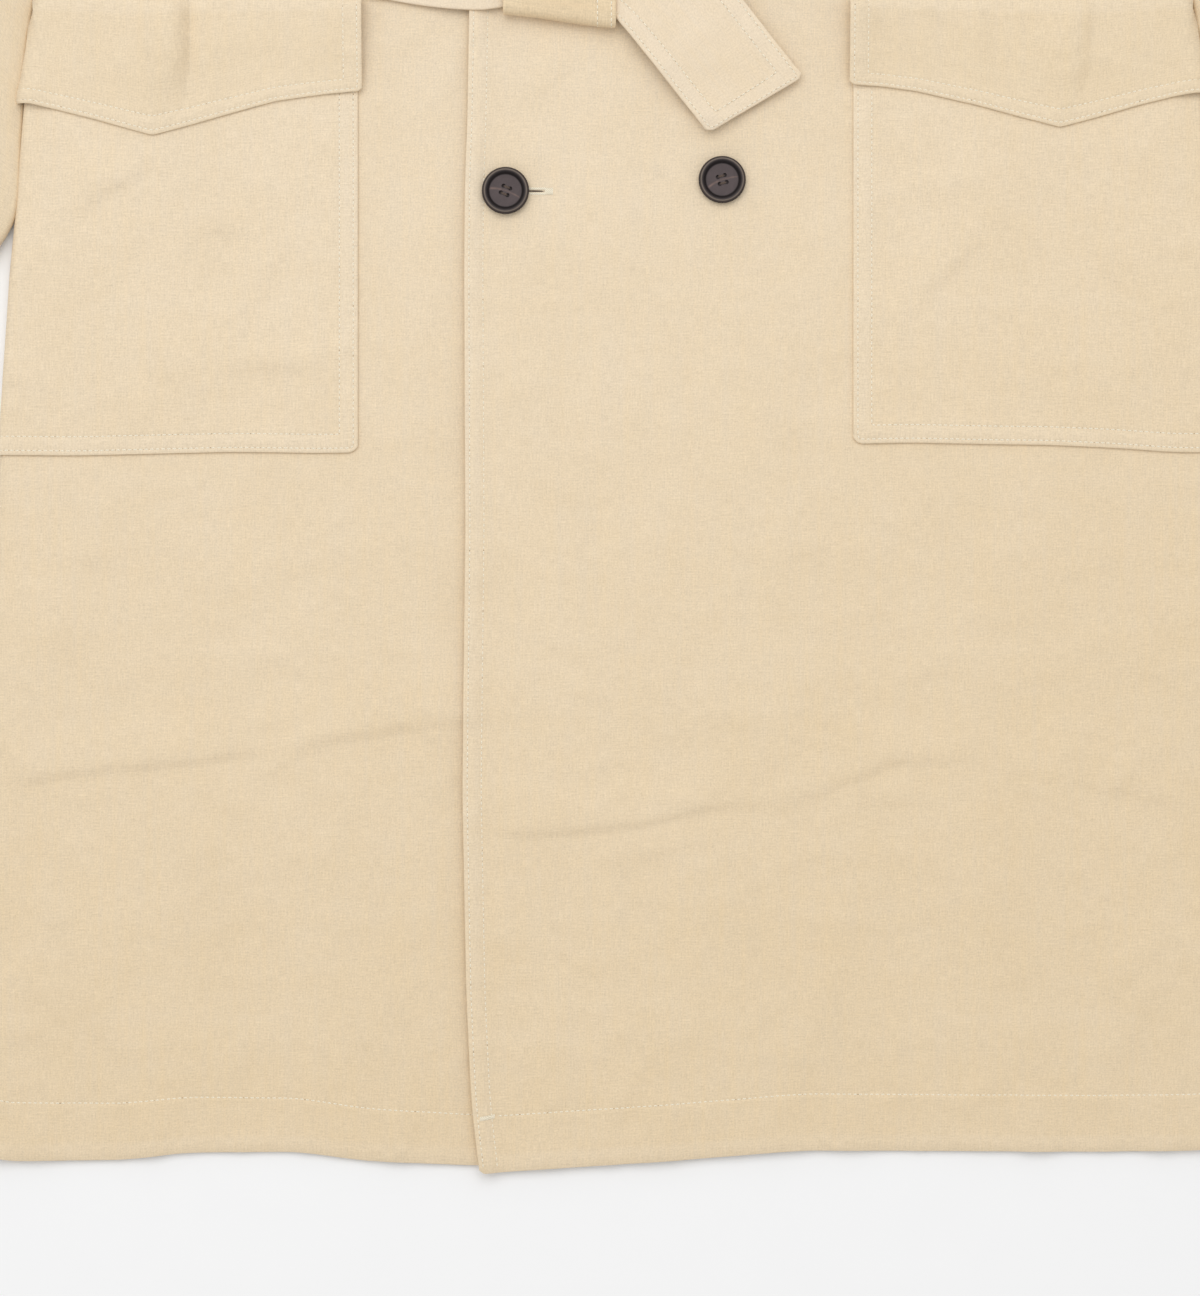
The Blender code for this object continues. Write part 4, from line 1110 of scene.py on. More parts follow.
def lapel_row(side, roll_up):
    """One row of a lapel: where it starts on the roll line, where it ends, and its width."""
    inner = roll_line(roll_up)
    if side < 0:
        inner = max(inner, -inner + LAPEL_CLEARANCE)
    edge_across, edge_up = read(LAPEL_ACROSS[side], roll_up), read(LAPEL_UP[side], roll_up)
    return inner, edge_across, edge_up, hypot(edge_across - inner, edge_up - roll_up)


def lapel_surface(side, a, roll_up, raised=0.0):
    """a is the distance from the roll line. Below 0 it goes round under the roll, in shares of a half turn."""
    inner, edge_across, edge_up, width = lapel_row(side, roll_up)
    share = max(0.0, a) / width
    across, up = mix(inner, edge_across, share), mix(roll_up, edge_up, share)
    z = top_height(side, across, up) + LAYER + LAPEL_SPRING + sewn(width * (1 - share))
    z += LAPEL_BILLOW * sin(pi * share) ** 2 * min(1.0, width / LAPEL_BILLOWS_FROM)
    if a < 0:
        shows = 1.0 if side > 0 else ramp(roll_up, *RIGHT_ROLL_SHOWS)
        z -= ROLL_RADIUS * (1 - cos(-a * pi))
        across -= ROLL_RADIUS * sin(-a * pi) * shows
    return side * across, up, z + raised


def lapel_lines(side, roll_up):
    width = lapel_row(side, roll_up)[-1]
    squeeze = min(1.0, LAPEL_SEWN_SHARE * width / SEWN_LINES[-1])
    edge = [width - line * squeeze for line in reversed(RIM_LINES + SEWN_LINES)]
    return [-turn for turn in ROLL_TURNS] + [0.0] + spaced(0, edge[0], edge[0] / LAPEL_COLUMNS) + edge


for word, side in SIDES:
    low, high = LAPEL_ACROSS[side][0].at, LAPEL_ACROSS[side][-1].at
    levels = [low + line for line in RIM_LINES] + spaced(low + RIM_LINES[-1], LAPEL_PEAK_UP, LAPEL_STEP)
    levels += [LAPEL_PEAK_UP] + spaced(LAPEL_PEAK_UP, high, LAPEL_STEP) + [high]
    lapel = cloth(f"lapel_{word}_cloth", levels, partial(lapel_lines, side), partial(lapel_surface, side),
                  coat_cotton)
    lay(lapel, f"lapel_{word}")
    stops = [level for level in levels if lapel_row(side, level)[-1] > 2 * SEWN_ROWS[-1]]
    sew(f"lapel_{word}_stitches", [
        (partial(lapel_surface, side), [(lapel_row(side, level)[-1] - row, level) for level in stops], side,
         LAPEL_STITCHES_RAISED)
        for row in SEWN_ROWS
    ])


# ---- Collar ----
# The collar stands up from the neck seam and falls over itself, in two layers of cloth with their edges
# turned in. Its points lie on the lapels, and its outer edge has two rows of topstitching.

# Round the left half of the neck, from the centre back: the neck seam, the crest and the outer edge
COLLAR = [
    (0, 1070, 2.2, 0, 1080, 26.0, 0, 1126, 1.0), (22, 1071, 2.2, 24, 1081, 25.5, 34, 1127, 1.0),
    (42, 1075, 2.2, 47, 1086, 24.0, 66, 1126, 1.2), (60, 1080, 2.6, 67, 1091, 22.0, 94, 1121, 1.6),
    (76, 1083, 3.6, 84, 1091, 19.0, 117, 1110, 2.8), (82, 1080, 4.4, 91, 1084, 15.5, 133, 1095, 4.2),
    (80, 1072, 4.4, 86, 1074, 12.0, 142, 1076, 5.0), (72, 1063, 4.4, 72, 1063, 9.5, 145, 1056, 4.6),
    (62, 1056, 3.6, 56, 1054, 6.8, 139, 1031, 4.4),
]
COLLAR_HALF_LENGTH = 168.0
STAND_HEIGHT = 26.0
FALL_HEIGHT = 62.0
COLLAR_STEP = 4.0
COLLAR_RIPPLE, COLLAR_RIPPLE_SIZE, COLLAR_RIPPLE_SEED = 0.5, 26, 21.0
# How far the handles of the curves reach: up the stand, in from its crest, out from it, and back from the edge
STAND_RISES, STAND_LEANS, FALL_ROLLS, FALL_LIES, FALL_DROPS = 0.6, 0.5, 0.25, 0.35, 0.25
STITCH_HOLD = 0.55


def between(rows, at):
    """A smooth curve through the rows, read at a fractional row number."""
    first = min(int(at), len(rows) - 2)
    share = at - first
    near = [rows[max(0, min(len(rows) - 1, first + offset))] for offset in (-1, 0, 1, 2)]
    return [
        b + share * (c - a + share * (2 * a - 5 * b + 4 * c - d + share * (3 * b - a - 3 * c + d))) / 2
        for a, b, c, d in zip(*near)
    ]


def bezier(start, first, second, end, share):
    rest = 1 - share
    return start * rest**3 + first * (3 * rest**2 * share) + second * (3 * rest * share**2) + end * share**3


def collar_surface(a, b, raised=0.0):
    """a climbs the stand and goes down the fall, and b runs along the neck from the centre back."""
    numbers = between(COLLAR, abs(b) / COLLAR_HALF_LENGTH * (len(COLLAR) - 1))
    seam, crest, edge = (Vector(numbers[first:first + 3]) for first in (0, 3, 6))
    flat = Vector((1, 1, 0))
    if a <= STAND_HEIGHT:
        first = seam + Vector((0, 0, STAND_RISES * (crest.z - seam.z)))
        second = crest - STAND_LEANS * (crest - seam) * flat
        at = bezier(seam, first, second, crest, a / STAND_HEIGHT)
    else:
        share = (a - STAND_HEIGHT) / FALL_HEIGHT
        first = crest + FALL_ROLLS * (edge - crest) * flat
        second = edge + FALL_LIES * (crest - edge) * flat + Vector((0, 0, FALL_DROPS * (crest.z - edge.z)))
        at = bezier(crest, first, second, edge, share)
        ripple = COLLAR_RIPPLE * noise_at(at.x, at.y, COLLAR_RIPPLE_SIZE, COLLAR_RIPPLE_SEED)
        at.z += max(ripple, 0.0) + sewn(STAND_HEIGHT + FALL_HEIGHT - a) * STITCH_HOLD
    return at.x * (1 if b >= 0 else -1), at.y, at.z + raised


width = STAND_HEIGHT + FALL_HEIGHT
collar_lines = list(RIM_LINES) + spaced(RIM_LINES[-1], STAND_HEIGHT, COLLAR_STEP) + [STAND_HEIGHT]
collar_lines += spaced(STAND_HEIGHT, width - SEWN_LINES[-1], COLLAR_STEP)
collar_lines += [width - line for line in reversed(RIM_LINES + SEWN_LINES)]
half = spaced(0, COLLAR_HALF_LENGTH - RIM_LINES[-1], COLLAR_STEP)
half += [COLLAR_HALF_LENGTH - line for line in reversed(RIM_LINES)]
collar_levels = [-b for b in reversed(half)] + [0.0] + half
collar = cloth("collar_cloth", collar_levels, lambda b: collar_lines, collar_surface, coat_cotton)
lay(collar, "collar")
end = COLLAR_HALF_LENGTH - SEWN_ROWS[-1]
places = [-end] + spaced(-end, end, COLLAR_STEP) + [end]
sew("collar_stitches",
    [(collar_surface, [(width - row, b) for b in places], -1, CLOTH / 2) for row in SEWN_ROWS])


# ---- Sleeves ----
# Each sleeve is a tube that starts at the armhole and lies flat beside the coat, folded along its inner and
# outer sides. Its cuff end is hemmed with one row of stitches.

# Down a sleeve from the armhole: its inner fold across and up, its outer fold, and the outer fold's radius
SLEEVE = [
    (297.0, 819, 235.0, 1043, 0.76), (319, 780, 288, 1011, 1.6), (317, 744, 325, 969, 2.15),
    (311, 702, 352, 912, 2.15), (300.5, 662, 379, 846, 2.15), (301.6, 620, 402, 780, 2.15),
    (307.0, 580, 422, 712, 2.15), (309.2, 540, 441, 648, 2.15), (313, 495, 462, 585, 2.15),
    (332, 464, 479, 535, 2.15), (350, 433, 493, 498, 2.15), (365, 408, 503, 472, 2.15),
]
SLEEVE_WIDTH, SLEEVE_LENGTH, SLEEVE_STEP = 150.0, 520.0, 5.0
SLEEVE_FOLD = pi * 2.15
TUBE_FOLD_STEPS = 8
SLEEVE_DENT_SEED = 30.0
ARMHOLE_LOW, ARMHOLE_HIGH = 820.0, 1090.0
ARMHOLE_FADES = 55.0
CUFF_ROW = SLEEVE_LENGTH - 30.0
CUFF_RISE = (CUFF_ROW - 1.5, CUFF_ROW + 0.5)
CUFF_LINES = (-2.4, -1, 0, 1, 2.4)
SLEEVE_CREASES = boxed([
    Crease(5.5, 22, 36, ((330, 440), (328, 480), (328, 540), (325, 600), (324, 660), (334, 720), (342, 760))),
    Crease(1.3, 24, 9, ((300, 860), (330, 880), (352, 890))),
    Crease(1.1, 9, 22, ((304, 800), (326, 838), (338, 872))),
    Crease(1.0, 20, 9, ((316, 742), (348, 762), (374, 766))),
    Crease(0.9, 9, 18, ((324, 690), (352, 706), (392, 702))),
    Crease(1.2, 24, 9, ((320, 640), (356, 652), (404, 640))),
    Crease(0.9, 9, 22, ((318, 596), (352, 616), (398, 612))),
    Crease(1.0, 20, 9, ((326, 548), (362, 572), (424, 560))),
    Crease(0.8, 10, 20, ((336, 500), (380, 522), (440, 520))),
    Crease(0.9, 18, 8, ((366, 464), (404, 486), (454, 482))),
])


@cache
def sleeve_unevenness(side, across, up):
    swell = SWELL * (1 + noise_at(side * across, up, SWELL_SIZE, SWELL_SEED))
    dents = DENT * noise_at(across, up, DENT_SIZE, SLEEVE_DENT_SEED + side)
    return max(0.0, swell + dents + creases_at(SLEEVE_CREASES, across, up))


def round_tube(a, wall, fold):
    """Round a flat tube, out along one wall and back along the other: how far out, and how far turned."""
    if a <= wall:
        return a, 0.0
    if a <= wall + fold:
        return wall, pi * (a - wall) / fold
    if a <= 2 * wall + fold:
        return 2 * wall + fold - a, pi
    return 0.0, pi * (a - 2 * wall) / fold


def tube_lines(wall, fold, step_length):
    lines = [0.0] + spaced(0, wall, step_length) + [wall]
    lines += [wall + fold * number / TUBE_FOLD_STEPS for number in range(1, TUBE_FOLD_STEPS)]
    return lines + [wall + fold + line for line in lines] + [2 * (wall + fold)]


def sleeve_surface(side, a, b, raised=0.0):
    """a runs round the tube: out beneath, round the outer fold, back on top, and round the inner one."""
    inner_x, inner_up, outer_x, outer_up, fold_radius = between(SLEEVE, b / SLEEVE_LENGTH * (len(SLEEVE) - 1))
    out, angle = round_tube(a, SLEEVE_WIDTH, SLEEVE_FOLD)
    share = out / SLEEVE_WIDTH
    inner, outer = Vector((inner_x, inner_up)), Vector((outer_x, outer_up))
    radius = mix(FOLD_RADIUS, fold_radius, share)
    at = mix(inner, outer, share) + (outer - inner).normalized() * sin(angle) * radius
    top = (1 - cos(angle)) / 2
    near = fade(b, 0, ARMHOLE_FADES)
    uneven = sleeve_unevenness(side, at.x, at.y)
    if near > 0:
        level = mix(ARMHOLE_LOW, ARMHOLE_HIGH, share)
        rim = half_width(level) - CLOTH / 2
        rim_radius = (LAYER + puff(rim, level)) / 2
        rim_at = Vector((rim + GAP + abs(sin(angle)) * rim_radius, to_top(level, SHOULDER_TIP_UP)))
        first = Vector(SLEEVE[0][:2]).lerp(Vector(SLEEVE[0][2:4]), share)
        at += (rim_at - first) * near
        radius = mix(radius, rim_radius, near)
        uneven = mix(uneven, unevenness(side * rim, level), near)
    relief = -row_sink(CUFF_ROW - b) + HEM_FOLD * ramp(b, *CUFF_RISE)
    wall = radius - (radius + raised + relief) * cos(angle)
    z = CLOTH / 2 + wall + uneven * (CREASE_SHARE_BENEATH * (1 - top) + top)
    return side * at.x, at.y, z


# The sleeves' cotton is a little darker than the coat's: painted shade, for sleeves that lie low beside the
# coat's side
shaded_sleeve_cotton = add_cotton("shaded_sleeve_cotton", tint(230, 212, 184), tint(222, 199, 161))
sleeve_lines = tube_lines(SLEEVE_WIDTH, SLEEVE_FOLD, SLEEVE_STEP)
sleeve_levels = [0.0] + spaced(0, CUFF_ROW + CUFF_LINES[0], SLEEVE_STEP)
sleeve_levels += [CUFF_ROW + line for line in CUFF_LINES]
sleeve_levels += spaced(CUFF_ROW + CUFF_LINES[-1], SLEEVE_LENGTH - RIM_LINES[-1], SLEEVE_STEP)
sleeve_levels += [SLEEVE_LENGTH - line for line in reversed(RIM_LINES)]
for word, side in SIDES:
    surface = partial(sleeve_surface, side)
    sleeve = cloth(f"sleeve_{word}_cloth", sleeve_levels, lambda b: sleeve_lines, surface, shaded_sleeve_cotton,
                   ring=True, even=False)
    lay(sleeve, f"sleeve_{word}")
    sew(f"sleeve_{word}_stitches", [(surface, [(a, CUFF_ROW) for a in sleeve_lines], -side, CLOTH / 2)])


# ---- Belt ----
# A belt of doubled cloth goes round the coat at the waist. Its end is wrapped once round it, and its two
# tails come out of the wrap, up and down. All of it has two rows of topstitching along every edge.

BELT_WIDTH = 57.7
BELT_BACK_UP = 629.0
BELT_LOWER_EDGE = [
    Row(-293, 629.0), Row(-114, 605.3), Row(-100, 602.4), Row(-74, 599.4), Row(-60, 600.2), Row(-56, 602.0),
    Row(-40, 604.0), Row(0, 606.0), Row(10, 608.5), Row(120, 616.0), Row(293, 629.0),
]
BELT_STEP = 6.0
BELT_CURL, BELT_CURLS_WITHIN, BELT_CURL_ENDS = 0.6, 18.0, (50, 10)
KNOT_LEFT, KNOT_RIGHT = -57.0, 1.5
KNOT_COVERS = 12
ROLLED_UNDER_FROM = -125.0
KNOT_RISE_REACH = 40.0
KNOT_LOWER_EDGE = [Row(-57, 598.0), Row(-32, 594.6), Row(-11, 591.5), Row(1.5, 590.2)]
KNOT_HEIGHT = 79.0
KNOT_RADIUS = 1.5 * BELT_LAYER
KNOT_WALL = KNOT_HEIGHT - BELT_CLOTH - 2 * KNOT_RADIUS
KNOT_FOLD = pi * KNOT_RADIUS
KNOT_STEP = 3.0
KNOT_GATHER, GATHER_WIDTH, GATHER_HEIGHT, GATHER_MORE, GATHER_SEED = 0.9, 40, 11, 0.4, 40.0
EDGE_STEP, TAIL_STEP = 5.0, 4.0
TAIL_CORNER = 4.0
TAIL_ROWS_FROM = 4.0
BELT_EDGE_LINES = RIM_LINES + (1.8, 2.4, 3.1, 5.0, 7.5, 8.8, 9.6, 10.4, 12.5)

# Rows along each tail: its two edges across and up, and how far it stands off the fronts
TAIL_IN_KNOT = BELT_ON_CLOTH + 2 * BELT_LAYER
LOWER_TAIL = [
    (-30, 608, -30, 650, TAIL_IN_KNOT), (-4, 599, 0, 654, TAIL_IN_KNOT), (5, 591, 20, 652, TAIL_IN_KNOT + 1),
    (16, 577.5, 44, 632, TAIL_IN_KNOT + 2.2), (25, 566.3, 66, 606, TAIL_IN_KNOT + 1.6),
    (37, 551.4, 82, 586, TAIL_IN_KNOT), (49.4, 536.1, 98.8, 565.2, TAIL_IN_KNOT - 1.6),
]
UPPER_TAIL = [
    (-56, 678, 0, 672, BELT_ON_CLOTH + 1.5), (-50, 702, 7, 696, BELT_ON_CLOTH),
    (-41, 740, 16.5, 734, BELT_ON_CLOTH), (-32, 780, 25.5, 774, BELT_ON_CLOTH),
    (-23, 820, 34.5, 814, BELT_ON_CLOTH),
]
TAILS = (("lower", LOWER_TAIL, 138.0, -1), ("upper", UPPER_TAIL, 146.0, 1))

# Paler painted shade in the needle holes of the belt's stitches
shallow_hole_shade = add_thread("shallow_hole_shade", tint(216, 196, 166))
# The belt's cotton is a little paler than the coat's: painted light, for the raised belt and tails that catch
# more of the lamp
lit_belt_cotton = add_cotton("lit_belt_cotton", tint(236, 219, 194), COTTON_WARM_AND_SHADE, slub=0.6)
# The wrap's cotton is darker and warmer than the belt's: painted shade, for its front that curves down towards
# the hem
shaded_knot_cotton = add_cotton("shaded_knot_cotton", tint(228, 207, 173), tint(222, 196, 158), slub=1.4)


def on_fronts(x, up, raised):
    """The height of a point that lies on the buttoned fronts, smoothed over the left front's free edge."""
    if x >= -OVERLAP:
        return top_height(1, x, up) + raised
    steps_down = fade(-x, OVERLAP + STEP_MARGIN, OVERLAP + STEP_MARGIN + STEP_LENGTH)
    return top_height(-1, -x, up) + LAYER * steps_down + raised


def knot_rise(x):
    """How much the knot's layers beneath it lift the belt."""
    past = max(KNOT_LEFT - x, x - KNOT_RIGHT, 0.0)
    return BELT_LAYER * fade(past, STEP_MARGIN, KNOT_RISE_REACH)


def both_edges(distance, width):
    """How a belt's two stitched edges raise and sink it, halved, as its cloth is doubled."""
    return (sewn(distance) + sewn(width - distance)) * STITCH_HOLD


def belt_surface(a, b, raised=0.0):
    """a runs from the centre back, round one side, over the fronts and round the other."""
    side = 1 if a >= 0 else -1
    across = abs(a)
    start = fold_start(BELT_BACK_UP + BELT_WIDTH / 2)
    up = b + (soft(BELT_LOWER_EDGE, a) if across < start else BELT_BACK_UP)
    relief = both_edges(b, BELT_WIDTH) + raised
    if across <= start:
        curl = BELT_CURL * fade(b, 0, BELT_CURLS_WITHIN)
        curl *= 1 - ramp(across, start - BELT_CURL_ENDS[0], start - BELT_CURL_ENDS[1])
        curl *= ramp(max(KNOT_LEFT - a, a - KNOT_RIGHT), 0, KNOT_COVERS)
        return a, up, on_fronts(a, up, BELT_ON_CLOTH + knot_rise(a) + curl + relief)
    across += fold_start(up) - start
    x, z = skin(side, across, up, BELT_ON_CLOTH + relief)
    if across > fold_start(up) + pi * FOLD_RADIUS:
        z = min(z, BELT_CLOTH / 2 - relief)
    return x, up, z


def belt_places():
    """Round the belt, from the centre back to both sides: closer at the side folds."""
    start = fold_start(BELT_BACK_UP + BELT_WIDTH / 2)
    turned = pi * FOLD_RADIUS
    half = [0.0] + spaced(0, start, BELT_STEP)
    half += [start + turned * number / FOLD_STEPS for number in range(FOLD_STEPS)]
    half += [start + turned] + spaced(start + turned, 2 * start + turned, BELT_STEP) + [2 * start + turned]
    return [-line for line in reversed(half[1:])] + half


def along_edges(width):
    """Places across a belt: close to both edges and their rows, and even between."""
    inner = spaced(BELT_EDGE_LINES[-1], width - BELT_EDGE_LINES[-1], EDGE_STEP)
    return list(BELT_EDGE_LINES) + inner + [width - line for line in reversed(BELT_EDGE_LINES)]


belt_lines = belt_places()
belt = cloth("belt_waist_cloth", along_edges(BELT_WIDTH), lambda b: belt_lines, belt_surface, lit_belt_cotton,
             BELT_CLOTH, ring=True)
lay(belt, "belt_waist")
belt_rows = [(b, belt_lines) for b in (SEWN_ROWS[1], BELT_WIDTH - SEWN_ROWS[0], BELT_WIDTH - SEWN_ROWS[1])]
belt_rows += [(SEWN_ROWS[0], [a for a in belt_lines if a < ROLLED_UNDER_FROM]),
              (SEWN_ROWS[0], [a for a in belt_lines if a > KNOT_LEFT])]
sew("belt_stitches", [(belt_surface, [(a, b) for a in line], 1, BELT_CLOTH / 2) for b, line in belt_rows],
    shallow_hole_shade)


def knot_surface(a, b, raised=0.0):
    """a runs round the wrap, up its back and down its front, and b across it from its left edge."""
    x = KNOT_LEFT + b
    low = soft(KNOT_LOWER_EDGE, x) + BELT_CLOTH / 2 + KNOT_RADIUS
    out, angle = round_tube(a, KNOT_WALL, KNOT_FOLD)
    up = low + out
    top = (1 - cos(angle)) / 2
    gather = noise.noise(Vector((x / GATHER_WIDTH, up / GATHER_HEIGHT, GATHER_SEED)))
    gather = KNOT_GATHER * top * (gather + GATHER_MORE)
    relief = both_edges(b, KNOT_RIGHT - KNOT_LEFT) * top + max(0.0, gather) + raised
    z = on_fronts(x, up, BELT_ON_CLOTH) + KNOT_RADIUS - (KNOT_RADIUS + relief) * cos(angle)
    return x, up + (KNOT_RADIUS + relief) * sin(angle), z


knot_lines = tube_lines(KNOT_WALL, KNOT_FOLD, KNOT_STEP)
knot_width = KNOT_RIGHT - KNOT_LEFT
knot = cloth("belt_knot_cloth", along_edges(knot_width), lambda b: knot_lines, knot_surface, shaded_knot_cotton,
             BELT_CLOTH, ring=True)
lay(knot, "belt_knot")
shown = [a for a in knot_lines if a >= KNOT_WALL + KNOT_FOLD / 4]
sew("belt_knot_stitches",
    [(knot_surface, [(a, knot_width - row) for a in shown], 1, BELT_CLOTH / 2) for row in SEWN_ROWS],
    shallow_hole_shade)


def tail_surface(table, length, a, b, raised=0.0):
    """a runs across the tail, and b along it to its free end."""
    first_x, first_up, second_x, second_up, stands = between(table, b / length * (len(table) - 1))
    in_end = rounding(min(a, BELT_WIDTH - a), TAIL_CORNER) * (1 - ramp(length - b, 0, 2 * TAIL_CORNER))
    first, second = Vector((first_x, first_up)), Vector((second_x, second_up))
    at = first.lerp(second, a / BELT_WIDTH)
    along = Vector((first_up - second_up, second_x - first_x)).normalized()
    if table[0][1] < table[-1][1]:
        in_end = -in_end
    at += along * in_end
    relief = min(both_edges(a, BELT_WIDTH), both_edges(length - b, BELT_WIDTH) + WELT * STITCH_HOLD)
    return at.x, at.y, on_fronts(at.x, at.y, stands + relief + raised)


def tail_row(length, row):
    """A row of stitches: down one side of a tail, along its end and back up the other."""
    far, end = BELT_WIDTH - row, length - row
    return [(row, TAIL_ROWS_FROM), (row, end), (far, end), (far, TAIL_ROWS_FROM)]


tail_lines = along_edges(BELT_WIDTH)
for word, table, length, outwards in TAILS:
    surface = partial(tail_surface, table, length)
    levels = [0.0] + spaced(0, length - BELT_EDGE_LINES[-1], TAIL_STEP)
    levels += [length - line for line in reversed(BELT_EDGE_LINES)]
    tail = cloth(f"belt_tail_{word}_cloth", levels, lambda b: tail_lines, surface, lit_belt_cotton, BELT_CLOTH,
                 even=False)
    lay(tail, f"belt_tail_{word}")
    sew(f"belt_tail_{word}_stitches",
        [(surface, tail_row(length, row), outwards, BELT_CLOTH / 2) for row in SEWN_ROWS], shallow_hole_shade)


# ---- Buttons ----
# Six round buttons of dark brown horn stand in two columns, each with a raised rim, a flat face and four
# holes. Brown thread holds them through two pairs of holes. The right-hand column goes through buttonholes
# in the left front, which are whipped with cream thread and end in a bar tack.

ButtonPlace = namedtuple("ButtonPlace", "name x up turn")
BUTTONS = [
    ButtonPlace("button_low_right", -55.9, 506.5, 22.5), ButtonPlace("button_low_left", 56.7, 512.2, 60.0),
    ButtonPlace("button_middle_right", -57.5, 742.0, 8.0), ButtonPlace("button_middle_left", 57.5, 742.0, 31.0),
    ButtonPlace("button_top_right", -57.5, 852.0, 48.0), ButtonPlace("button_top_left", 57.5, 852.0, 74.0),
]
BUTTON_SIDES, BUTTON_SHARP_FROM = 48, 38
BUTTON_FACE, BUTTON_FACE_HEIGHT = 7.6, 2.3
HOLE_RADIUS, HOLES_FROM_CENTRE, HOLE_SIDES, HOLE_DEPTH = 1.1, 2.65, 14, 1.9
HOLE_CORNER = HOLES_FROM_CENTRE * 0.707
# From the face's edge outwards and down round the rim: distance from the axis, and height
BUTTON_OUTLINE = [
    (8.5, 2.35), (8.9, 2.7), (9.3, 3.4), (9.8, 3.95), (10.5, 4.15), (11.2, 4.05), (11.8, 3.6), (12.2, 2.9),
    (12.3, 2.2), (12.1, 1.3), (11.5, 0.5), (10.4, 0.1), (9.0, 0.0), (3.0, 0.0),
]
HORN = tint(80, 69, 69)
# Painted shade on the steep wall of the groove and down the rim's outer side
HORN_PAINTED_SHADE = tint(30, 23, 23)
HORN_MID = tint(66, 56, 54)
HORN_RIM = tint(120, 108, 96)
HORN_VEIN = tint(132, 108, 98)
# Outwards over a button: the share of HORN_REACH, and the colour there
HORN_REACH = 12.5
HORN_RINGS = (
    (0.64, HORN), (0.69, HORN_PAINTED_SHADE), (0.79, HORN_PAINTED_SHADE), (0.84, HORN_MID), (0.88, HORN_RIM), (0.91, HORN_MID),
)
CLOUD_SCALE, FINE_SCALE = 160.0, 900.0
VEIN_SLOPE, VEIN_BEND, VEIN_HALF_WIDTH, VEIN_ENDS = 0.9, 0.045, 0.9, 8.6
VEIN_CLOUD, VEIN_CLOUD_FROM = 2.6, -0.8
BUTTON_THREAD = tint(92, 74, 62)
SLIT_SHADE = tint(96, 78, 62)
STRANDS, STRAND_RISE, STRAND_SIZE = (-0.34, 0.0, 0.34), 0.25, (0.55, 0.8)
HOLE_FROM, HOLE_TO, SLIT_SIZE = 9.0, 20.5, (1.15, 0.5)
WHIP_EVERY, WHIP_FROM, WHIP_TO, WHIP_SIZE = 0.42, 0.55, 2.1, (0.62, 0.8)
BAR_LEFT, BAR_RIGHT, BAR_REACH, BAR_STITCHES, BAR_SIZE = 20.7, 24.5, 2.2, 10, (0.6, 1.0)
# The bar tack where the left front's edge meets the hem
TACK_LEFT, TACK_RIGHT, TACK_LOW, TACK_HIGH = -69.2, -61.9, 25.8, 28.5
TACK_CLIMBS, TACK_SLANT, TACK_STITCHES, TACK_SIZE = 0.8, 0.3, 16, (0.65, 1.0)
UPWARDS = Vector((0, 0, 1))


def horn_material():
    """Polished horn: brown and mottled, with painted shade in the groove and down the rim's outer side, and a
    lighter streak across it.
    """
    made, tree, shader = add_material("brown_horn")
    local = add_node(tree, "UVMap", uv_map="button").outputs[0]
    radius = add_node(tree, "VectorMath", {0: local}, operation="LENGTH").outputs["Value"]
    radius = maths(tree, "DIVIDE", radius, MM)
    cloud = add_node(tree, "TexNoise",
                     {"Vector": local, "Scale": CLOUD_SCALE, "Detail": 4.0, "Distortion": 1.2})
    fine = add_node(tree, "TexNoise", {"Vector": local, "Scale": FINE_SCALE, "Detail": 3.0})
    shade = add_node(tree, "ValToRGB")
    ring = shade.color_ramp
    ring.elements[0].position, ring.elements[0].color = 0.0, HORN
    ring.elements[1].position, ring.elements[1].color = 1.0, HORN_PAINTED_SHADE
    for position, colour in HORN_RINGS:
        ring.elements.new(position).color = colour
    tree.links.new(maths(tree, "DIVIDE", radius, HORN_REACH), shade.inputs[0])
    split = add_node(tree, "SeparateXYZ", (local,))
    x, y = (maths(tree, "DIVIDE", split.outputs[axis], MM) for axis in ("X", "Y"))
    bend = maths(tree, "MULTIPLY", maths(tree, "MULTIPLY", x, x), VEIN_BEND)
    away = maths(tree, "ABSOLUTE", maths(tree, "ADD", maths(tree, "MULTIPLY_ADD", x, VEIN_SLOPE, y), bend))
    vein = maths(tree, "SUBTRACT", 1.0, maths(tree, "DIVIDE", away, VEIN_HALF_WIDTH), clamp=True)
    face = maths(tree, "SUBTRACT", VEIN_ENDS, radius, clamp=True)
    vein = maths(tree, "MULTIPLY", vein, face)
    broken = maths(tree, "MULTIPLY_ADD", cloud.outputs[0], VEIN_CLOUD, VEIN_CLOUD_FROM, clamp=True)
    vein = maths(tree, "MULTIPLY", vein, broken)
    streaked = add_node(tree, "Mix", {0: vein, 6: shade.outputs[0], 7: HORN_VEIN}, data_type="RGBA")
    tone = maths(tree, "MULTIPLY_ADD", cloud.outputs[0], 0.5, 0.6)
    tone = maths(tree, "MULTIPLY_ADD", fine.outputs[0], 0.3, tone)
    colour = add_node(tree, "VectorMath", {0: streaked.outputs[2], "Scale": tone}, operation="SCALE")
    tree.links.new(colour.outputs[0], shader.inputs["Base Color"])
    tree.links.new(maths(tree, "MULTIPLY_ADD", fine.outputs[0], 0.3, 0.38), shader.inputs["Roughness"])
    shader.inputs["Specular IOR Level"].default_value = 0.3
    bump = add_node(tree, "Bump", {"Height": fine.outputs[0], "Strength": 0.3, "Distance": 0.05 * MM})
    tree.links.new(bump.outputs[0], shader.inputs["Normal"])
    return made


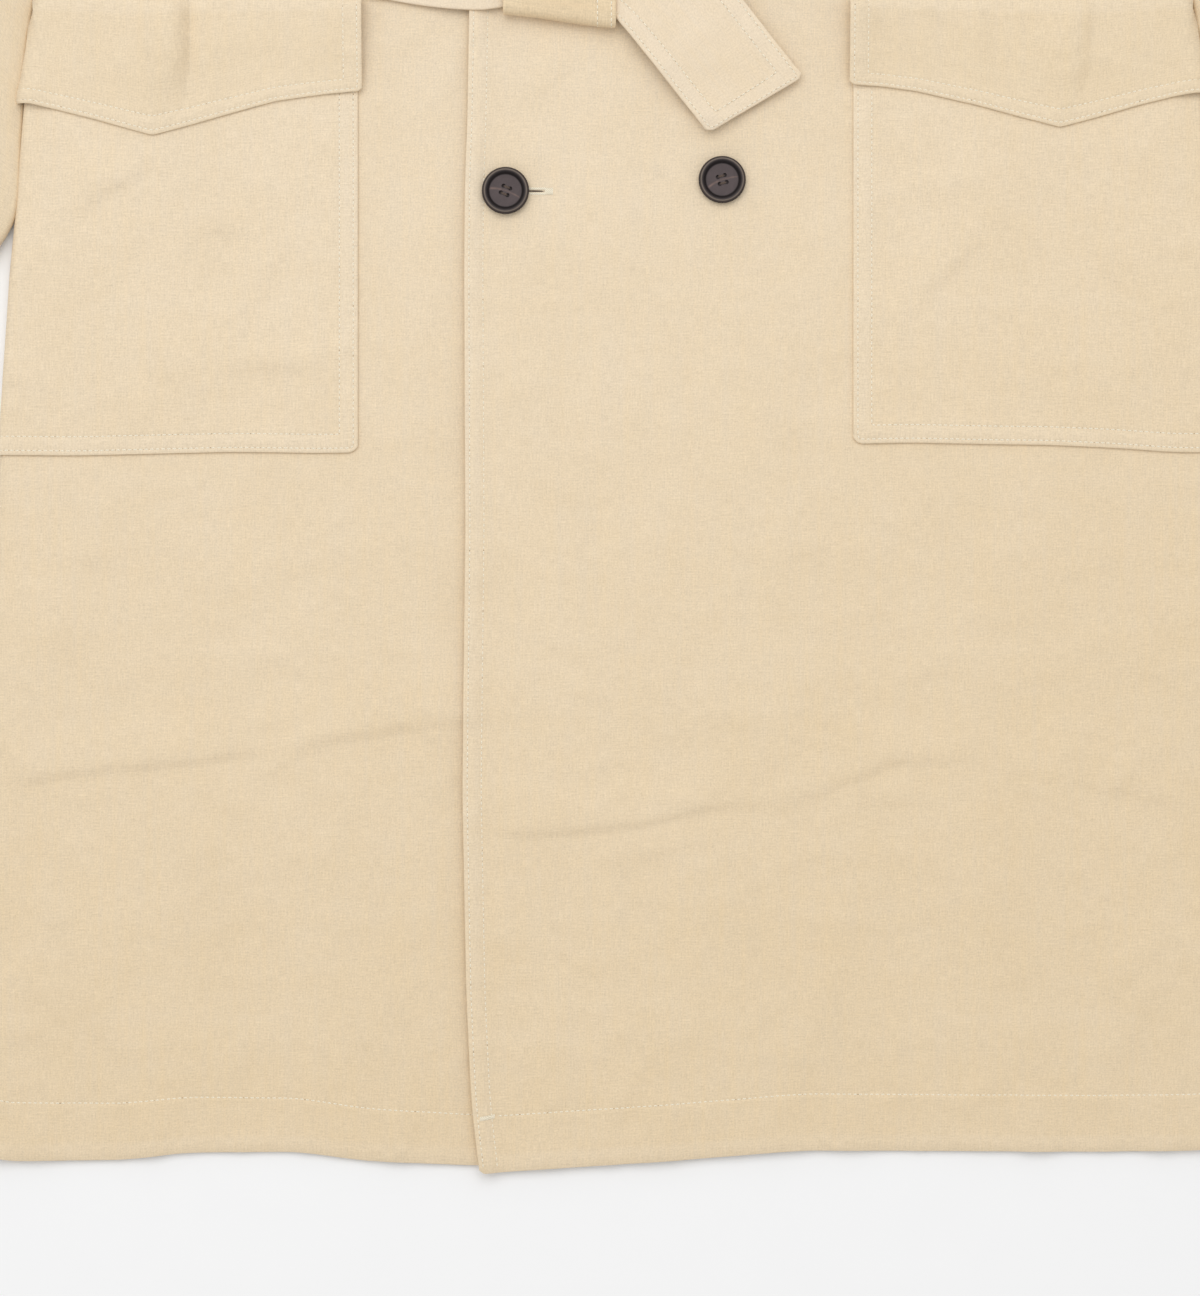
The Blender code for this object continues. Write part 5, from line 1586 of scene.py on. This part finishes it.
def button_form():
    """One button at the origin: a face with four holes, taken out and down round the rim, ring by ring."""
    bm = bmesh.new()
    outer = bmesh.ops.create_circle(bm, segments=BUTTON_SIDES, radius=BUTTON_FACE * MM)["verts"]
    holes = []
    for number in range(4):
        turn = radians(90 * number)
        at = Vector((cos(turn), sin(turn), 0)) * HOLES_FROM_CENTRE * MM
        holes.append(bmesh.ops.create_circle(bm, segments=HOLE_SIDES, radius=HOLE_RADIUS * MM,
                                             matrix=Matrix.Translation(at))["verts"])
    hole_edges = [edge for hole in holes for edge in {edge for vert in hole for edge in vert.link_edges}]
    edges = list({edge for vert in outer for edge in vert.link_edges})
    bmesh.ops.triangle_fill(bm, use_beauty=True, edges=edges + hole_edges)
    bmesh.ops.translate(bm, verts=bm.verts[:], vec=(0, 0, BUTTON_FACE_HEIGHT * MM))
    down = bmesh.ops.extrude_edge_only(bm, edges=hole_edges)["geom"]
    bmesh.ops.translate(bm, verts=[item for item in down if isinstance(item, bmesh.types.BMVert)],
                        vec=(0, 0, -HOLE_DEPTH * MM))
    bmesh.ops.holes_fill(bm, edges=[item for item in down if isinstance(item, bmesh.types.BMEdge)
                                    and item.is_boundary])
    for radius, height in BUTTON_OUTLINE:
        ring = bmesh.ops.extrude_edge_only(bm, edges=edges)["geom"]
        for vert in ring:
            if isinstance(vert, bmesh.types.BMVert):
                flat = vert.co.xy.normalized() * radius * MM
                vert.co = (flat.x, flat.y, height * MM)
        edges = [item for item in ring if isinstance(item, bmesh.types.BMEdge) and item.is_boundary]
    bmesh.ops.holes_fill(bm, edges=edges)
    bmesh.ops.recalc_face_normals(bm, faces=bm.faces[:])
    local = bm.loops.layers.uv.new("button")
    for face in bm.faces:
        for loop in face.loops:
            loop[local].uv = loop.vert.co.xy
    mesh = bpy.data.meshes.new("button_form")
    bm.to_mesh(mesh)
    bm.free()
    return mesh


def on_front(x, up):
    return in_frame(*front_surface(1, x, up, CLOTH / 2))


def whip(x, low, high, size, slant=0.0):
    """A cream stitch on the left front, from low to high."""
    add_stitch(whipping, on_front(x, low), on_front(x + slant, high), UPWARDS, *size)


def sew_on(placed):
    """Two pairs of holes, each with three strands of brown thread between them."""
    for turn in (45, 225):
        across = Matrix.Rotation(radians(turn), 4, "Z")
        holes = [across @ Vector((HOLE_CORNER, way * HOLE_CORNER, 0)) for way in (-1, 1)]
        for strand in STRANDS:
            aside = across @ Vector((strand, 0, BUTTON_FACE_HEIGHT + STRAND_RISE))
            first, second = (placed @ ((hole + aside) * MM) for hole in holes)
            add_stitch(threads, first, second, UPWARDS, *STRAND_SIZE)


def whip_buttonhole(place):
    """A slit beside the button's axis, drawn as a dark strip of painted shadow, whipped along both sides, with
    a bar across its far end.
    """
    count = round((HOLE_TO - HOLE_FROM) / WHIP_EVERY)
    for number in range(count + 1):
        x = place.x + HOLE_FROM + (HOLE_TO - HOLE_FROM) * number / count
        for way in (-1, 1):
            whip(x, place.up + way * WHIP_FROM, place.up + way * WHIP_TO, WHIP_SIZE)
    for number in range(BAR_STITCHES):
        x = place.x + BAR_LEFT + (BAR_RIGHT - BAR_LEFT) * number / (BAR_STITCHES - 1)
        whip(x, place.up - BAR_REACH, place.up + BAR_REACH, BAR_SIZE)
    add_stitch(slit_shadows, on_front(place.x + HOLE_FROM, place.up), on_front(place.x + HOLE_TO, place.up), UPWARDS,
               *SLIT_SIZE)


horn = horn_material()
form = button_form()
threads, whipping, slit_shadows = bmesh.new(), bmesh.new(), bmesh.new()
for place in BUTTONS:
    base = top_height(1, place.x, place.up) + CLOTH / 2 + GAP
    placed = Matrix.Translation(in_frame(place.x, place.up, base))
    placed = placed @ Matrix.Rotation(radians(place.turn), 4, "Z")
    bm = bmesh.new()
    bm.from_mesh(form)
    bm.transform(placed)
    button = add_mesh(place.name + "_horn", bm, horn)
    button.data.set_sharp_from_angle(angle=radians(BUTTON_SHARP_FROM))
    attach(button, "root")
    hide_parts(place.name)
    sew_on(placed)
    if place.x < 0:
        whip_buttonhole(place)
for number in range(TACK_STITCHES):
    share = number / (TACK_STITCHES - 1)
    x, climb = mix(TACK_LEFT, TACK_RIGHT, share), TACK_CLIMBS * share
    whip(x, TACK_LOW + climb, TACK_HIGH + climb, TACK_SIZE, TACK_SLANT)
for name, bm, finish in (
    ("button_threads", threads, add_thread("brown_thread", BUTTON_THREAD)),
    ("buttonhole_whipping", whipping, cream_thread),
    ("buttonhole_slit_shadows", slit_shadows, add_thread("slit_shadow", SLIT_SHADE)),
):
    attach(add_mesh(name, bm, finish), "root")
